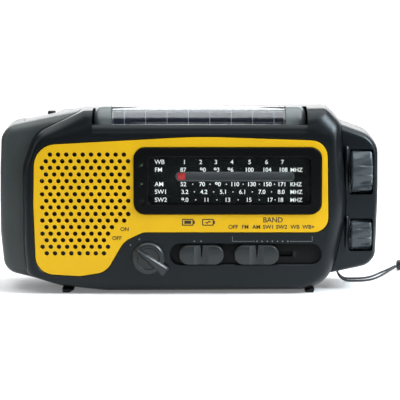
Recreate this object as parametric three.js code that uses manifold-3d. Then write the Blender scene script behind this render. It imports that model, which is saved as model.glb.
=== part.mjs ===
// Portable radio with a hand crank, a solar pod, an analogue dial and a flashlight in its left end.
// Millimetres, +Z up, the front faces -Y and +X is to the right.
// The origin is on the floor under the middle of the radio.
import * as THREE from 'three';
import { mergeVertices } from 'three/addons/utils/BufferGeometryUtils.js';
import Module from 'manifold-3d';

const wasm = await Module();
wasm.setup();

// ---------------------------------------------------------------- driving dimensions
const GAP = 0.3; // running clearance between neighbouring pieces
const WALL = 2.2; // housing wall
const FACE_Y = -25; // front face of the housing
const PARTING_Y = -2; // where the front and rear housings meet
const REAR_Y = 29; // rear face
const CAP_Y = -14; // front of the left end cap
const POD_FACE_Y = -12.5; // front face of the control pod
const SIDE_SEAM_X = -91.6; // seam between the rear housing and the left end cap
const WEB_Y = -22; // back of the housing's front wall

// Outlines in (x, z), each corner with the radius that rounds it.
const FRONT_OUTLINE = [
  [-89.6, 9.8, 5.2], [-71, 3.8, 25], [-46, 1, 60], [78.2, 1, 20], [88.2, 46, 80],
  [84.1, 94.5, 6], [76, 102.3, 5.4], [-57.5, 101.2, 5.4], [-84.5, 88.5, 14], [-91.3, 70, 24],
  [-91.3, 24, 50],
];
const BODY_OUTLINE = [
  [-102.9, 10.6, 8], [-71, 2.6, 30], [-48, 1, 60], [78.2, 1, 20], [88.2, 46, 80],
  [84.1, 94.5, 6], [76, 101.8, 5.4], [-58, 100.6, 12], [-103.6, 91.2, 9], [-104.9, 60, 60],
  [-104.9, 32, 60],
];
const POD_OUTLINE = [
  [70, 7, 6], [104.4, 14.2, 9], [105.4, 50, 60], [105, 85.5, 12], [70, 98, 6],
];
const PANEL_OUTLINE = [
  [-84, 11.6, 10], [-60, 10.1, 14], [-45.5, 12.4, 10], [-35.5, 29.6, 12], [-25, 34.6, 8],
  [77, 34.6, 8], [76, 85.1, 9], [6.3, 87.5, 300], [-84.4, 82.6, 12], [-85.2, 50, 60],
];

const KNOB = { x: -22.1, z: 20.2, radius: 9, front: -29 };
const BEZEL = { x0: -29.8, x1: 72.9, z0: 44.8, z1: 82.2, corner: 6 };
const WINDOW = { x0: -22.3, x1: 67.3, z0: 49.7, z1: 76.8, corner: 3 };
const DIAL_SLOT = { x0: -6.6, x1: 57.8, z: 65.15, half: 2.1 };
const POINTER = { x: -3.9, width: 4.6 };
const LEDS = { x: -25.7, z: [72, 61.7, 51.2], radius: 1.3 };
const TRACK = { x0: -9.9, x1: 73.2, z: 22.3, half: 5.7 };
const SLIDERS = { width: 24.6, half: 5.3, front: -28.3, power: 7.1, band: 37.5 };
const GRILLE = { x: -80.2, z: 78, pitchX: 4.5, pitchZ: 3.63, rows: 16, radius: 1.2, sides: 4 };
const SPEAKER = { x: -57.6, z: 51, radius: 28.5 };

const SOLAR = { x0: -52.5, x1: 65, y: -5, z: 90, radius: 12.5 };
const SOLAR_WINDOW = { x0: -41.5, x1: 52.5, from: 18, to: 112 };

const TUNING = { y: -5.5, z: 66.9, radius: 13 };
const VOLUME = { y: -6.5, z: 31.35, radius: 9.5 };
const WHEELS = { x0: 90, x1: 101.8 };

const ANTENNA = { x: 72, y: 20, z: 95.8, tip: -80 };
const RABBET = { x0: -86, x1: 77.4, y: 13.5, z: 90.6, endZ: 92.9 };

const HUB = { x: 38, z: 49 };
const DISH = { radius: 37, floor: 15.2 };
const CRANK_THROW = 29;
const CRANK_KNOB_Y = 23.3;
const CRANK_TEETH = { count: 32, module: 1 };
const PINION_TEETH = { count: 9, module: 1 };
const WHEEL_TEETH = { count: 27, module: 0.8 };
const GENERATOR_TEETH = { count: 9, module: 0.8 };

const BAY = { x0: -84, x1: -22, z0: 27, z1: 75, floor: 10 };
const CELL = { radius: 7.25, length: 50.5, pitch: 16, y: 18 };
const LAMP = { y: 5, z: 60, radius: 13.5 };
const BUTTON = { y: 0, z: 36, half: 3.6 };
const SCREWS = [[-80, 14.5], [-74, 84], [77.5, 81], [73.5, 12.5]];

// The strap's routes, chosen by hand: they leave the lug, drop, and lie on the floor.
const STRAP_BEAD = [124.6, 52.5, 3.1];
const STRAP_REAR = [
  [84.6, 12.5, 6.1], [86.4, 16, 3.4], [89.6, 19.6, 1.1], [94, 21.4, 0.65], [99.4, 22, 0.65],
  [105, 27, 0.65], [111, 38.6, 0.65], [116.4, 46.4, 1.3], [121.5, 52.6, 2.4],
];
const STRAP_FRONT = [
  [84.6, 9.5, 6.1], [86.2, 10.6, 3.4], [89.4, 12.6, 1.1], [94, 13.4, 0.65], [99.4, 14, 0.65],
  [105, 18.4, 0.65], [111, 29.6, 0.65], [116.6, 41.4, 1.3], [121.9, 50.4, 2.4],
];
const STRAP_LOOP = [
  [127.9, 50.6, 2.6], [130.2, 46, 2], [131.6, 40, 1.6], [131.8, 30, 1.6], [131.6, 8, 1.6],
  [131.6, -6, 1.6], [131.6, -12.6, 1.6], [132.8, -17, 1.6], [136, -20.2, 1.6],
  [140.4, -21.4, 1.6], [144.8, -20.2, 1.6], [148, -17, 1.6], [149.2, -12.6, 1.6],
  [149.2, 8, 1.6], [149.2, 34, 1.6], [149.2, 58, 1.6], [149.2, 66.2, 1.6], [148, 70.6, 1.6],
  [144.8, 73.8, 1.6], [140.4, 75, 1.6], [136, 73.8, 1.6], [132.8, 70.6, 1.6], [131, 65.6, 1.7],
  [129.4, 60, 2.1], [127.8, 54.6, 2.6],
];
const STRAP_RADIUS = 0.6;
const LOOP_RADIUS = 1.5;

// ---------------------------------------------------------------- materials
const plastic = (color, roughness = 0.5) => new THREE.MeshStandardMaterial({ color, roughness });
const metal = (color, roughness = 0.3) =>
  new THREE.MeshStandardMaterial({ color, roughness, metalness: 1 });
const BLACK = plastic('#24292d', 0.45);
const GREY = plastic('#42474a', 0.5);
const POD_GREY = plastic('#2b3033', 0.5);
const YELLOW = plastic('#eabb25', 0.45);
const KNOB_GREY = plastic('#43484b', 0.55);
const DARK = plastic('#181b1d', 0.6);
const WHITE = plastic('#d8d8d0', 0.5);
const RUBBER = plastic('#17191a', 0.85);
const GREEN = plastic('#1f6b43', 0.6);
const LED_GREEN = plastic('#7ddc5a', 0.3);
const RED = plastic('#c34141', 0.4);
const CLEAR = new THREE.MeshStandardMaterial({
  color: '#c8d2d6', roughness: 0.05, transparent: true, opacity: 0.35,
});
const CELL_BLUE = plastic('#1c2438', 0.2);
const STEEL = metal('#c6cacc');
const BRASS = metal('#c9a24a');
const COPPER = plastic('#9a7b4f', 0.5);

// ---------------------------------------------------------------- shape helpers
const TURN = Math.PI * 2;

/** The corners of an outline, moved outwards by d (inwards if d is negative). */
function grow(corners, d) {
  const n = corners.length;
  const edges = corners.map(([x, z], i) => {
    const [nx, nz] = corners[(i + 1) % n];
    const length = Math.hypot(nx - x, nz - z);
    return { x, z, dx: (nx - x) / length, dz: (nz - z) / length };
  });
  return corners.map(([, , r], i) => {
    const a = edges[(i + n - 1) % n];
    const b = edges[i];
    const turn = a.dx * b.dz - a.dz * b.dx;
    const ax = a.x + a.dz * d;
    const az = a.z - a.dx * d;
    const bx = b.x + b.dz * d;
    const bz = b.z - b.dx * d;
    const along = ((bx - ax) * b.dz - (bz - az) * b.dx) / turn;
    return [ax + a.dx * along, az + a.dz * along, Math.max(0.2, r + Math.sign(turn) * d)];
  });
}

/** A closed outline of points whose corners are rounded by arcs. */
function rounded(corners, step = 18) {
  const n = corners.length;
  const points = [];
  corners.forEach(([x, z, r], i) => {
    const [px, pz] = corners[(i + n - 1) % n];
    const [nx, nz] = corners[(i + 1) % n];
    const a = new THREE.Vector2(px - x, pz - z);
    const b = new THREE.Vector2(nx - x, nz - z);
    const half = Math.acos(THREE.MathUtils.clamp(a.dot(b) / a.length() / b.length(), -1, 1)) / 2;
    const reach = Math.min(r / Math.tan(half), 0.49 * a.length(), 0.49 * b.length());
    const radius = reach * Math.tan(half);
    a.normalize();
    b.normalize();
    const middle = a.clone().add(b).normalize().multiplyScalar(radius / Math.sin(half));
    const centre = middle.add(new THREE.Vector2(x, z));
    const start = Math.atan2(z + a.y * reach - centre.y, x + a.x * reach - centre.x);
    const end = Math.atan2(z + b.y * reach - centre.y, x + b.x * reach - centre.x);
    const sweep = THREE.MathUtils.euclideanModulo(end - start + Math.PI, TURN) - Math.PI;
    const steps = Math.max(1, Math.ceil(Math.abs(sweep) * THREE.MathUtils.RAD2DEG / step));
    for (let k = 0; k <= steps; k += 1) {
      const angle = start + (sweep * k) / steps;
      points.push(new THREE.Vector2(
        centre.x + radius * Math.cos(angle),
        centre.y + radius * Math.sin(angle),
      ));
    }
  });
  return new THREE.Shape(points);
}

const rectangle = (x0, x1, z0, z1, r = 0.01) =>
  rounded([[x0, z0, r], [x1, z0, r], [x1, z1, r], [x0, z1, r]], 22);

function polygon(x, z, radius, sides, from = 0) {
  const at = (k) => from + (TURN * k) / sides;
  return new THREE.Shape(Array.from({ length: sides }, (_, k) =>
    new THREE.Vector2(x + radius * Math.cos(at(k)), z + radius * Math.sin(at(k)))));
}

/** A plate whose outline is in (x, z), from y0 at the front to y1 at the back. */
function plate(shape, y0, y1, bevel = 0) {
  const geometry = new THREE.ExtrudeGeometry(shape, {
    depth: y1 - y0 - 2 * bevel,
    bevelEnabled: bevel > 0,
    bevelSize: bevel,
    bevelOffset: -bevel,
    bevelThickness: bevel,
    bevelSegments: 2,
    curveSegments: 12,
  });
  return geometry.rotateX(Math.PI / 2).translate(0, y1 - bevel, 0);
}

/** A bar whose outline is in (y, z), from x0 to x1. */
function bar(shape, x0, x1) {
  const geometry = new THREE.ExtrudeGeometry(shape, { depth: x1 - x0, bevelEnabled: false });
  const cycle = new THREE.Matrix4().set(0, 0, 1, 0, 1, 0, 0, 0, 0, 1, 0, 0, 0, 0, 0, 1);
  return geometry.applyMatrix4(cycle).translate(x0, 0, 0);
}

const box = (x0, x1, y0, y1, z0, z1) =>
  new THREE.BoxGeometry(x1 - x0, y1 - y0, z1 - z0)
    .translate((x0 + x1) / 2, (y0 + y1) / 2, (z0 + z1) / 2);

const discY = (x, z, radius, y0, y1, sides = 24) =>
  plate(polygon(x, z, radius, sides, Math.PI / sides), y0, y1);
const discX = (y, z, radius, x0, x1, sides = 24) =>
  bar(polygon(y, z, radius, sides, Math.PI / sides), x0, x1);
const discZ = (x, y, radius, z0, z1, sides = 16) =>
  new THREE.ExtrudeGeometry(polygon(x, y, radius, sides, Math.PI / sides),
    { depth: z1 - z0, bevelEnabled: false }).translate(0, 0, z0);

/** A solid of revolution about a line along X, its profile in (x, radius). */
function latheX(profile, y, z, sides = 24) {
  const points = profile.map(([x, r]) => new THREE.Vector2(r, x));
  return new THREE.LatheGeometry(points, sides).rotateZ(-Math.PI / 2).translate(0, y, z);
}

/** A solid of revolution about a line along Y, its profile in (y, radius). */
function latheY(profile, x, z, sides = 24) {
  const points = profile.map(([y, r]) => new THREE.Vector2(r, y));
  return new THREE.LatheGeometry(points, sides).translate(x, 0, z);
}

/** A gear blank in (x, z) with straight-sided teeth, one of them at the angle "first". */
function gear(x, z, { count, module: m }, first = 0) {
  const pitch = (count * m) / 2;
  const tip = pitch + 0.85 * m;
  const root = pitch - 1.15 * m;
  const tooth = TURN / count;
  const points = [];
  for (let k = 0; k < count; k += 1) {
    const middle = first + k * tooth;
    [[-0.33, root], [-0.1, tip], [0.1, tip], [0.33, root]].forEach(([share, radius]) => {
      const angle = middle + share * tooth;
      points.push(new THREE.Vector2(x + radius * Math.cos(angle), z + radius * Math.sin(angle)));
    });
  }
  return new THREE.Shape(points);
}

function cordTube(route, radius, steps) {
  const curve = new THREE.CatmullRomCurve3(route.map((p) => new THREE.Vector3(...p)));
  return new THREE.ExtrudeGeometry(polygon(0, 0, radius, 8), {
    steps, extrudePath: curve, bevelEnabled: false,
  });
}

// ---------------------------------------------------------------- joining and cutting
function solid(shape) {
  if (shape instanceof wasm.Manifold) return shape;
  const bare = shape.clone();
  bare.deleteAttribute('normal');
  bare.deleteAttribute('uv');
  const merged = mergeVertices(bare, 1e-4);
  return new wasm.Manifold(new wasm.Mesh({
    numProp: 3,
    vertProperties: merged.attributes.position.array,
    triVerts: Uint32Array.from(merged.index.array),
  }));
}
const join = (first, ...others) => others.reduce((all, s) => all.add(solid(s)), solid(first));
const cut = (first, ...others) => others.reduce((all, s) => all.subtract(solid(s)), solid(first));
const common = (first, second) => solid(first).intersect(solid(second));

function toGeometry(shape) {
  if (!(shape instanceof wasm.Manifold)) return shape;
  const result = shape.getMesh();
  const geometry = new THREE.BufferGeometry();
  geometry.setAttribute('position', new THREE.BufferAttribute(result.vertProperties, 3));
  geometry.setIndex(new THREE.BufferAttribute(result.triVerts, 1));
  geometry.computeVertexNormals();
  return geometry;
}

const radio = new THREE.Group();
function add(name, shape, material) {
  const piece = new THREE.Mesh(toGeometry(shape), material);
  piece.name = name;
  radio.add(piece);
}

// ---------------------------------------------------------------- housings
const FAR = 200;
const solarTrough = () => discX(SOLAR.y, SOLAR.z, SOLAR.radius + 0.4,
  SOLAR.x0 - GAP, SOLAR.x1 + GAP, 30);
const troughWall = () => discX(SOLAR.y, SOLAR.z, SOLAR.radius + 2.1,
  SOLAR.x0 - 2, SOLAR.x1 + 2, 30);
const solarPins = (extra) => discX(SOLAR.y, SOLAR.z, 2.5 + extra,
  SOLAR.x0 - 1.6 - extra, SOLAR.x1 + 1.6 + extra, 16);
const openLip = () => bar(new THREE.Shape([
  [-30, 90], [FACE_Y, 90], [-23, 93.2], [-17, 95.4], [SOLAR.y, 95.4], [SOLAR.y, 110], [-30, 110],
].map((p) => new THREE.Vector2(...p))), SOLAR.x0 - GAP, SOLAR.x1 + GAP);
const sideShaftHoles = () => [TUNING, VOLUME].map((w) => discX(w.y, w.z, 3.2, 70, 100, 12));

const antennaWay = () => box(-FAR, RABBET.x0 + 1, RABBET.y, FAR, RABBET.endZ, FAR);

function frontHousing() {
  const front = (outline, y0, bevel) => common(
    plate(rounded(outline), y0, 20, bevel),
    box(-FAR, FAR, -FAR, PARTING_Y - GAP / 2, -FAR, FAR),
  );
  const outer = front(FRONT_OUTLINE, FACE_Y, 4);
  const inner = cut(plate(rounded(grow(FRONT_OUTLINE, -WALL)), WEB_Y, 20, 2.5));
  const bosses = SCREWS.map(([x, z]) => discY(x, z, 3.5, WEB_Y - 0.5, PARTING_Y - 1.6, 12));
  const pilots = SCREWS.map(([x, z]) => discY(x, z, 1.5, -17, 10, 8));
  const shell = join(cut(outer, inner), common(troughWall(), outer), ...bosses);
  return cut(
    shell, solarTrough(), solarPins(GAP), openLip(), ...pilots, ...sideShaftHoles(),
    plate(rounded(grow(PANEL_OUTLINE, GAP)), -30, FACE_Y + 1.7),
    discY(SPEAKER.x, SPEAKER.z, SPEAKER.radius - 2.5, -30, -20, 32),
    plate(rectangle(BEZEL.x0 - GAP, BEZEL.x1 + GAP, BEZEL.z0 - GAP, BEZEL.z1 + GAP, 6), -30, -20),
    discY(KNOB.x, KNOB.z, 3.4, -30, -20, 16),
    plate(rectangle(TRACK.x0, TRACK.x1, TRACK.z - TRACK.half, TRACK.z + TRACK.half, 5.6),
      -30, FACE_Y + 1.9),
    box(1, 9.7, -30, -20, TRACK.z - 1.8, TRACK.z + 1.8),
    box(35, 57.6, -30, -20, TRACK.z - 1.8, TRACK.z + 1.8),
  );
}

function rearHousing() {
  const clip = box(SIDE_SEAM_X, FAR, PARTING_Y + GAP / 2, FAR, -FAR, FAR);
  const outer = common(plate(rounded(BODY_OUTLINE), -25, REAR_Y, 4), clip);
  const inner = plate(rounded(grow(BODY_OUTLINE, -WALL)), -25, REAR_Y - WALL, 2.5);
  const bay = cut(box(BAY.x0 - 3.6, BAY.x1 + 3.6, BAY.floor - 1.8, REAR_Y - 1, BAY.z0 - 4, BAY.z1 + 3.4));
  const dish = discY(HUB.x, HUB.z, DISH.radius + 2, DISH.floor - 2, REAR_Y - 1, 32);
  const ledge = common(box(RABBET.x0 - 2, RABBET.x1 + 2, RABBET.y - 2, REAR_Y, 88.4, 110), outer);
  const hubBoss = discY(HUB.x, HUB.z, 6, 10.2, DISH.floor, 16);
  const spindleBoss = join(
    discY(SPINDLE.x, SPINDLE.z, 3.4, 8.6, DISH.floor - 1, 12),
    discY(SPINDLE.x, SPINDLE.z, 1.15, -1.4, 9, 8),
  );
  const bosses = SCREWS.map(([x, z]) => discY(x, z, 4.4, PARTING_Y + GAP / 2, REAR_Y - 2, 12));
  const counterbores = SCREWS.map(([x, z]) => discY(x, z, 3.3, 4, FAR, 12));
  const throughHoles = SCREWS.map(([x, z]) => discY(x, z, 1.7, -10, 6, 8));
  const shell = join(
    cut(outer, inner), common(troughWall(), outer), bay, dish, ledge, hubBoss, spindleBoss,
    ...bosses,
  );
  return cut(
    shell, solarTrough(), solarPins(GAP), ...counterbores, ...throughHoles,
    box(BAY.x0, BAY.x1, BAY.floor, FAR, BAY.z0, BAY.z1),
    box(DOOR.x0 - GAP, DOOR.x1 + GAP, DOOR.y - GAP, FAR, DOOR.z0 - GAP, DOOR.z1 + GAP),
    discY(HUB.x, HUB.z, DISH.radius, DISH.floor, FAR, 32),
    discY(HUB.x, HUB.z, 3.3, -10, FAR, 16),
    box(RABBET.x0, RABBET.x1, RABBET.y, FAR, RABBET.z, FAR),
    antennaWay(),
    discY(ANTENNA.x, ANTENNA.z, 2.3, 11, 20, 12),
  );
}

function leftEndCap() {
  const cap = plate(rounded(BODY_OUTLINE), CAP_Y, REAR_Y - 2, 3);
  const side = common(cap, box(-FAR, SIDE_SEAM_X - GAP, -FAR, FAR, -FAR, FAR));
  const rim = common(cap, box(-FAR, SOLAR.x0 - 5, -FAR, PARTING_Y - GAP, -FAR, FAR));
  const room = common(
    plate(rounded(grow(BODY_OUTLINE, -WALL)), CAP_Y + WALL, REAR_Y - 2 - WALL, 2),
    box(-FAR, SIDE_SEAM_X + 1, -FAR, FAR, -FAR, FAR),
  );
  return cut(
    join(side, rim), room, antennaWay(),
    plate(rounded(grow(FRONT_OUTLINE, GAP)), -FAR, 30).translate(0, PARTING_Y - 30, 0),
    discX(LAMP.y, LAMP.z, LAMP.radius + GAP, -FAR, -95, 32),
    box(-FAR, -95, BUTTON.y - BUTTON.half - GAP, BUTTON.y + BUTTON.half + GAP,
      BUTTON.z - BUTTON.half - GAP, BUTTON.z + BUTTON.half + GAP),
  );
}

function controlPodCover() {
  const outer = plate(rounded(POD_OUTLINE), POD_FACE_Y, REAR_Y - 2, 3);
  const inner = plate(rounded(grow(POD_OUTLINE, -WALL)), POD_FACE_Y + WALL, REAR_Y - 2 - WALL, 1.5);
  const lug = box(83.2, 85.8, 8, 14, 6.9, 12);
  return cut(
    join(cut(outer, inner), lug),
    plate(rounded(grow(FRONT_OUTLINE, GAP)), -60, 60),
    box(89.4, 102.4, -30, -2, 53.9, 79.2),
    box(89.4, 102.4, -30, -2, 22.1, 40.5),
    box(82, 88, 9.4, 12.6, 7.9, 9.6),
  );
}

const DOOR = { x0: -86.2, x1: -19.8, y: 27.2, z0: 24.8, z1: 77.2 };
const TRAIN = {
  first: ((CRANK_TEETH.count * CRANK_TEETH.module) + (PINION_TEETH.count * PINION_TEETH.module)) / 2,
  second: (WHEEL_TEETH.count * WHEEL_TEETH.module
    + GENERATOR_TEETH.count * GENERATOR_TEETH.module) / 2,
};
const TRAIN_ANGLE = Math.PI * 7 / 6; // from the crank's hub down to the idler
const SPINDLE = {
  x: HUB.x + TRAIN.first * Math.cos(TRAIN_ANGLE),
  z: HUB.z + TRAIN.first * Math.sin(TRAIN_ANGLE),
};
const GENERATOR = { x: SPINDLE.x - TRAIN.second, z: SPINDLE.z, radius: 12 };

add('front_housing', frontHousing(), BLACK);
add('rear_housing', rearHousing(), BLACK);
add('left_end_cap', leftEndCap(), GREY);
add('control_pod_cover', controlPodCover(), POD_GREY);

// ---------------------------------------------------------------- front panel and dial
function frontPanel() {
  const shape = rounded(PANEL_OUTLINE);
  const { x, z, pitchX, pitchZ, radius, rows, sides } = GRILLE;
  const firstHole = [1, 0, 0.5, 0, 0.5, 0, 0.5, 0, 0.5, 0, 0.5, 0.6, 0.1, 0.6, 0.1, 0.6];
  const holesInRow = [10, 11, 11, 11, 11, 11, 11, 11, 11, 11, 11, 9, 9, 8, 9, 8];
  for (let row = 0; row < rows; row += 1) {
    const stagger = row % 2 ? 0 : -pitchX / 2;
    const skip = row === 0 ? pitchX : 0;
    for (let k = 0; k < holesInRow[row]; k += 1) {
      shape.holes.push(polygon(x + stagger + skip + k * pitchX, z - row * pitchZ, radius, sides));
    }
  }
  shape.holes.push(rectangle(BEZEL.x0 - GAP, BEZEL.x1 + GAP, BEZEL.z0 - GAP, BEZEL.z1 + GAP, 6));
  return plate(shape, FACE_Y, FACE_Y + 1.4);
}

function dialBezel() {
  const shape = rectangle(BEZEL.x0, BEZEL.x1, BEZEL.z0, BEZEL.z1, BEZEL.corner);
  shape.holes.push(rectangle(WINDOW.x0, WINDOW.x1, WINDOW.z0, WINDOW.z1, WINDOW.corner));
  LEDS.z.forEach((z) => shape.holes.push(polygon(LEDS.x, z, LEDS.radius + 0.2, 10)));
  return plate(shape, FACE_Y - 0.9, WEB_Y - 0.3);
}

function dialScale() {
  const shape = rectangle(WINDOW.x0 - 1.6, WINDOW.x1 + 1.6, WINDOW.z0 - 1.6, WINDOW.z1 + 1.6);
  const { x0, x1, z, half } = DIAL_SLOT;
  shape.holes.push(rectangle(x0, x1, z - half, z + half));
  return plate(shape, -21.6, -20.8);
}

add('front_panel', frontPanel(), YELLOW);
add('dial_bezel', dialBezel(), DARK);
add('dial_window', plate(rectangle(
  WINDOW.x0 + GAP, WINDOW.x1 - GAP, WINDOW.z0 + GAP, WINDOW.z1 - GAP, 2.7,
), FACE_Y + 0.2, FACE_Y + 1.2), CLEAR);
add('dial_scale', dialScale(), DARK);
add('dial_pointer', join(
  box(POINTER.x - POINTER.width / 2, POINTER.x + POINTER.width / 2, -22.2, -19, 63.4, 66.9),
  box(POINTER.x - 4, POINTER.x + 4, -20.4, -17, 60, 70),
), RED);
LEDS.z.slice(0, 2).forEach((z, k) => {
  add(`indicator_led_${k + 1}`, discY(LEDS.x, z, LEDS.radius - 0.1, FACE_Y - 0.6, -18, 10), LED_GREEN);
});

const CORD = { x0: -16, x1: 62, z: 61.15, radius: 4, y0: -16.2, y1: -15.4 };
function dialCord() {
  const shape = rectangle(CORD.x0 - 4.4, CORD.x1 + 4.4, CORD.z - 4.4, CORD.z + 4.4, 4.3);
  shape.holes.push(rectangle(CORD.x0 - 3.7, CORD.x1 + 3.7, CORD.z - 3.7, CORD.z + 3.7, 3.6));
  return plate(shape, CORD.y0, CORD.y1);
}
add('dial_cord', dialCord(), WHITE);
[['dial_pulley_left', CORD.x0], ['dial_pulley_right', CORD.x1]].forEach(([name, x]) => {
  add(name, latheY([[-16.6, 0], [-16.6, 3.3], [-15, 3.3], [-15, 1.2], [-12, 1.2], [-12, 0]],
    x, CORD.z, 16), WHITE);
});

// ---------------------------------------------------------------- controls on the front
function chargeKnob() {
  const lever = plate(rounded([[-12.8, 1.5, 1], [-12.8, -1.5, 1], [7, -1.8, 1], [7, 1.8, 1]], 30),
    0, 3).rotateY(THREE.MathUtils.degToRad(-142)).translate(KNOB.x, KNOB.front, KNOB.z);
  return join(
    discY(KNOB.x, KNOB.z, KNOB.radius, KNOB.front + 1.2, FACE_Y - GAP, 28),
    discY(KNOB.x, KNOB.z, 3, FACE_Y - 1, -19, 12),
    lever,
  );
}

function sliderCap(x) {
  const cap = plate(rectangle(x - SLIDERS.width / 2, x + SLIDERS.width / 2,
    TRACK.z - SLIDERS.half, TRACK.z + SLIDERS.half, 5.2), SLIDERS.front, FACE_Y + 1.6);
  const saddle = discZ(x, SLIDERS.front - 10.6, 12.6, 0, 50, 40);
  return join(cut(cap, saddle), box(x - 2, x + 2, FACE_Y + 1, -21.4, TRACK.z - 1.4, TRACK.z + 1.4));
}

add('charge_knob', chargeKnob(), KNOB_GREY);
add('power_slider', sliderCap(SLIDERS.power), KNOB_GREY);
add('band_slider', sliderCap(SLIDERS.band), KNOB_GREY);
/** The circuit board with the bodies of the three switches soldered to its front. */
function mainBoard() {
  const shape = rectangle(-31, 68, 11, 76, 1);
  [CORD.x0, CORD.x1].forEach((x) => shape.holes.push(polygon(x, CORD.z, 1.6, 8)));
  const selector = cut(
    box(KNOB.x - 8, KNOB.x + 8, -21.6, -14, KNOB.z - 8, KNOB.z + 8),
    discY(KNOB.x, KNOB.z, 3.4, -30, -18, 12),
  );
  const slideSwitches = [[0, 10], [33, 60]].map(([x0, x1]) => box(x0, x1, -21, -14, 17, 27.4));
  return join(plate(shape, -14.8, -13.4), selector, ...slideSwitches);
}
add('main_board', mainBoard(), GREEN);

// ---------------------------------------------------------------- speaker
add('speaker_frame', latheY([
  [-21.7, 28.5], [-20.4, 28.5], [-19.2, 26], [-11.4, 15], [-11.4, 5], [-12.6, 5], [-12.6, 13.6],
  [-19.8, 24.4], [-21.7, 24.4], [-21.7, 28.5],
], SPEAKER.x, SPEAKER.z, 20), STEEL);
add('speaker_cone', latheY([
  [-14.6, 0], [-13.8, 9], [-20.6, 23.8], [-19.9, 24], [-13, 9.4], [-13.4, 0],
], SPEAKER.x, SPEAKER.z, 20), DARK);
add('speaker_magnet', discY(SPEAKER.x, SPEAKER.z, 14, -11, -3, 24), STEEL);

// ---------------------------------------------------------------- solar pod
const sector = (inner, outer, from, to, steps) => {
  const at = (r, degrees) => new THREE.Vector2(
    SOLAR.y - r * Math.cos(THREE.MathUtils.degToRad(degrees)),
    SOLAR.z + r * Math.sin(THREE.MathUtils.degToRad(degrees)),
  );
  const points = [];
  for (let k = 0; k <= steps; k += 1) points.push(at(outer, from + ((to - from) * k) / steps));
  for (let k = steps; k >= 0; k -= 1) points.push(at(inner, from + ((to - from) * k) / steps));
  return new THREE.Shape(points);
};
function solarPodShell() {
  const { from, to, x0, x1 } = SOLAR_WINDOW;
  const barrel = discX(SOLAR.y, SOLAR.z, SOLAR.radius, SOLAR.x0, SOLAR.x1, 30);
  const hollow = discX(SOLAR.y, SOLAR.z, SOLAR.radius - 2, SOLAR.x0 + 8, SOLAR.x1 - 8, 16);
  return join(
    cut(barrel, hollow, bar(sector(5, 20, from - 1, to + 1, 6), x0 - GAP, x1 + GAP)),
    solarPins(0),
  );
}
add('solar_pod_shell', solarPodShell(), BLACK);
add('solar_window', bar(sector(11.3, 12.45, SOLAR_WINDOW.from, SOLAR_WINDOW.to, 8),
  SOLAR_WINDOW.x0, SOLAR_WINDOW.x1), CLEAR);
add('solar_cell_panel', bar(sector(9.6, 10.7, SOLAR_WINDOW.from + 4, SOLAR_WINDOW.to - 4, 5),
  SOLAR_WINDOW.x0 + 1, SOLAR_WINDOW.x1 - 1), CELL_BLUE);

// ---------------------------------------------------------------- thumbwheels
function thumbwheel({ y, z, radius }) {
  const teeth = { count: 36, module: radius / 18 };
  const points = [];
  for (let k = 0; k < teeth.count; k += 1) {
    const angle = (TURN * k) / teeth.count;
    const r = k % 2 ? radius - 0.5 : radius;
    points.push(new THREE.Vector2(y + r * Math.cos(angle), z + r * Math.sin(angle)));
  }
  return join(
    bar(new THREE.Shape(points), WHEELS.x0, WHEELS.x1),
    discX(y, z, 2.6, 77, WHEELS.x0 + 1, 12),
  );
}
add('tuning_wheel', thumbwheel(TUNING), KNOB_GREY);
add('volume_wheel', thumbwheel(VOLUME), KNOB_GREY);
add('tuning_capacitor', cut(
  box(68, 80.6, -13, -2.4, 58, 75),
  discX(TUNING.y, TUNING.z, 2.95, 76, 90, 12),
), WHITE);
add('volume_control', cut(
  box(68, 80.6, -13, -2.4, 24, 38.6),
  discX(VOLUME.y, VOLUME.z, 2.95, 76, 90, 12),
), STEEL);

// ---------------------------------------------------------------- antenna
function antennaBase() {
  return cut(
    join(
      discY(ANTENNA.x, ANTENNA.z, 4.8, RABBET.y + GAP, 24.4, 20),
      discY(ANTENNA.x, ANTENNA.z, 2, 11.8, 16, 12),
    ),
    box(60, ANTENNA.x + 3, 15.4, 30, ANTENNA.z - 1.7, ANTENNA.z + 1.7),
  );
}
function sleeve(outer, inner, from, to, depth) {
  return cut(
    discX(ANTENNA.y, ANTENNA.z, outer, from, to, 12),
    discX(ANTENNA.y, ANTENNA.z, inner, from - 5, from + depth, 12),
  );
}
add('antenna_base', antennaBase(), BLACK);
add('antenna_tube_1', join(
  sleeve(2.9, 2.45, -71, 64.6, 130),
  discZ(ANTENNA.x - 1.6, ANTENNA.y, 4, ANTENNA.z - 1.4, ANTENNA.z + 1.4, 16),
  box(63.6, ANTENNA.x - 2, ANTENNA.y - 2.3, ANTENNA.y + 2.3, ANTENNA.z - 1.4, ANTENNA.z + 1.4),
), STEEL);
add('antenna_tube_2', sleeve(2.1, 1.72, -72.6, 56, 126), STEEL);
add('antenna_tube_3', sleeve(1.4, 1.08, -74.2, 51, 122), STEEL);
add('antenna_rod', join(
  discX(ANTENNA.y, ANTENNA.z, 0.75, -78, 45, 8),
  discX(ANTENNA.y, ANTENNA.z, 2.6, ANTENNA.tip, -75.6, 12),
), STEEL);

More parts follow.
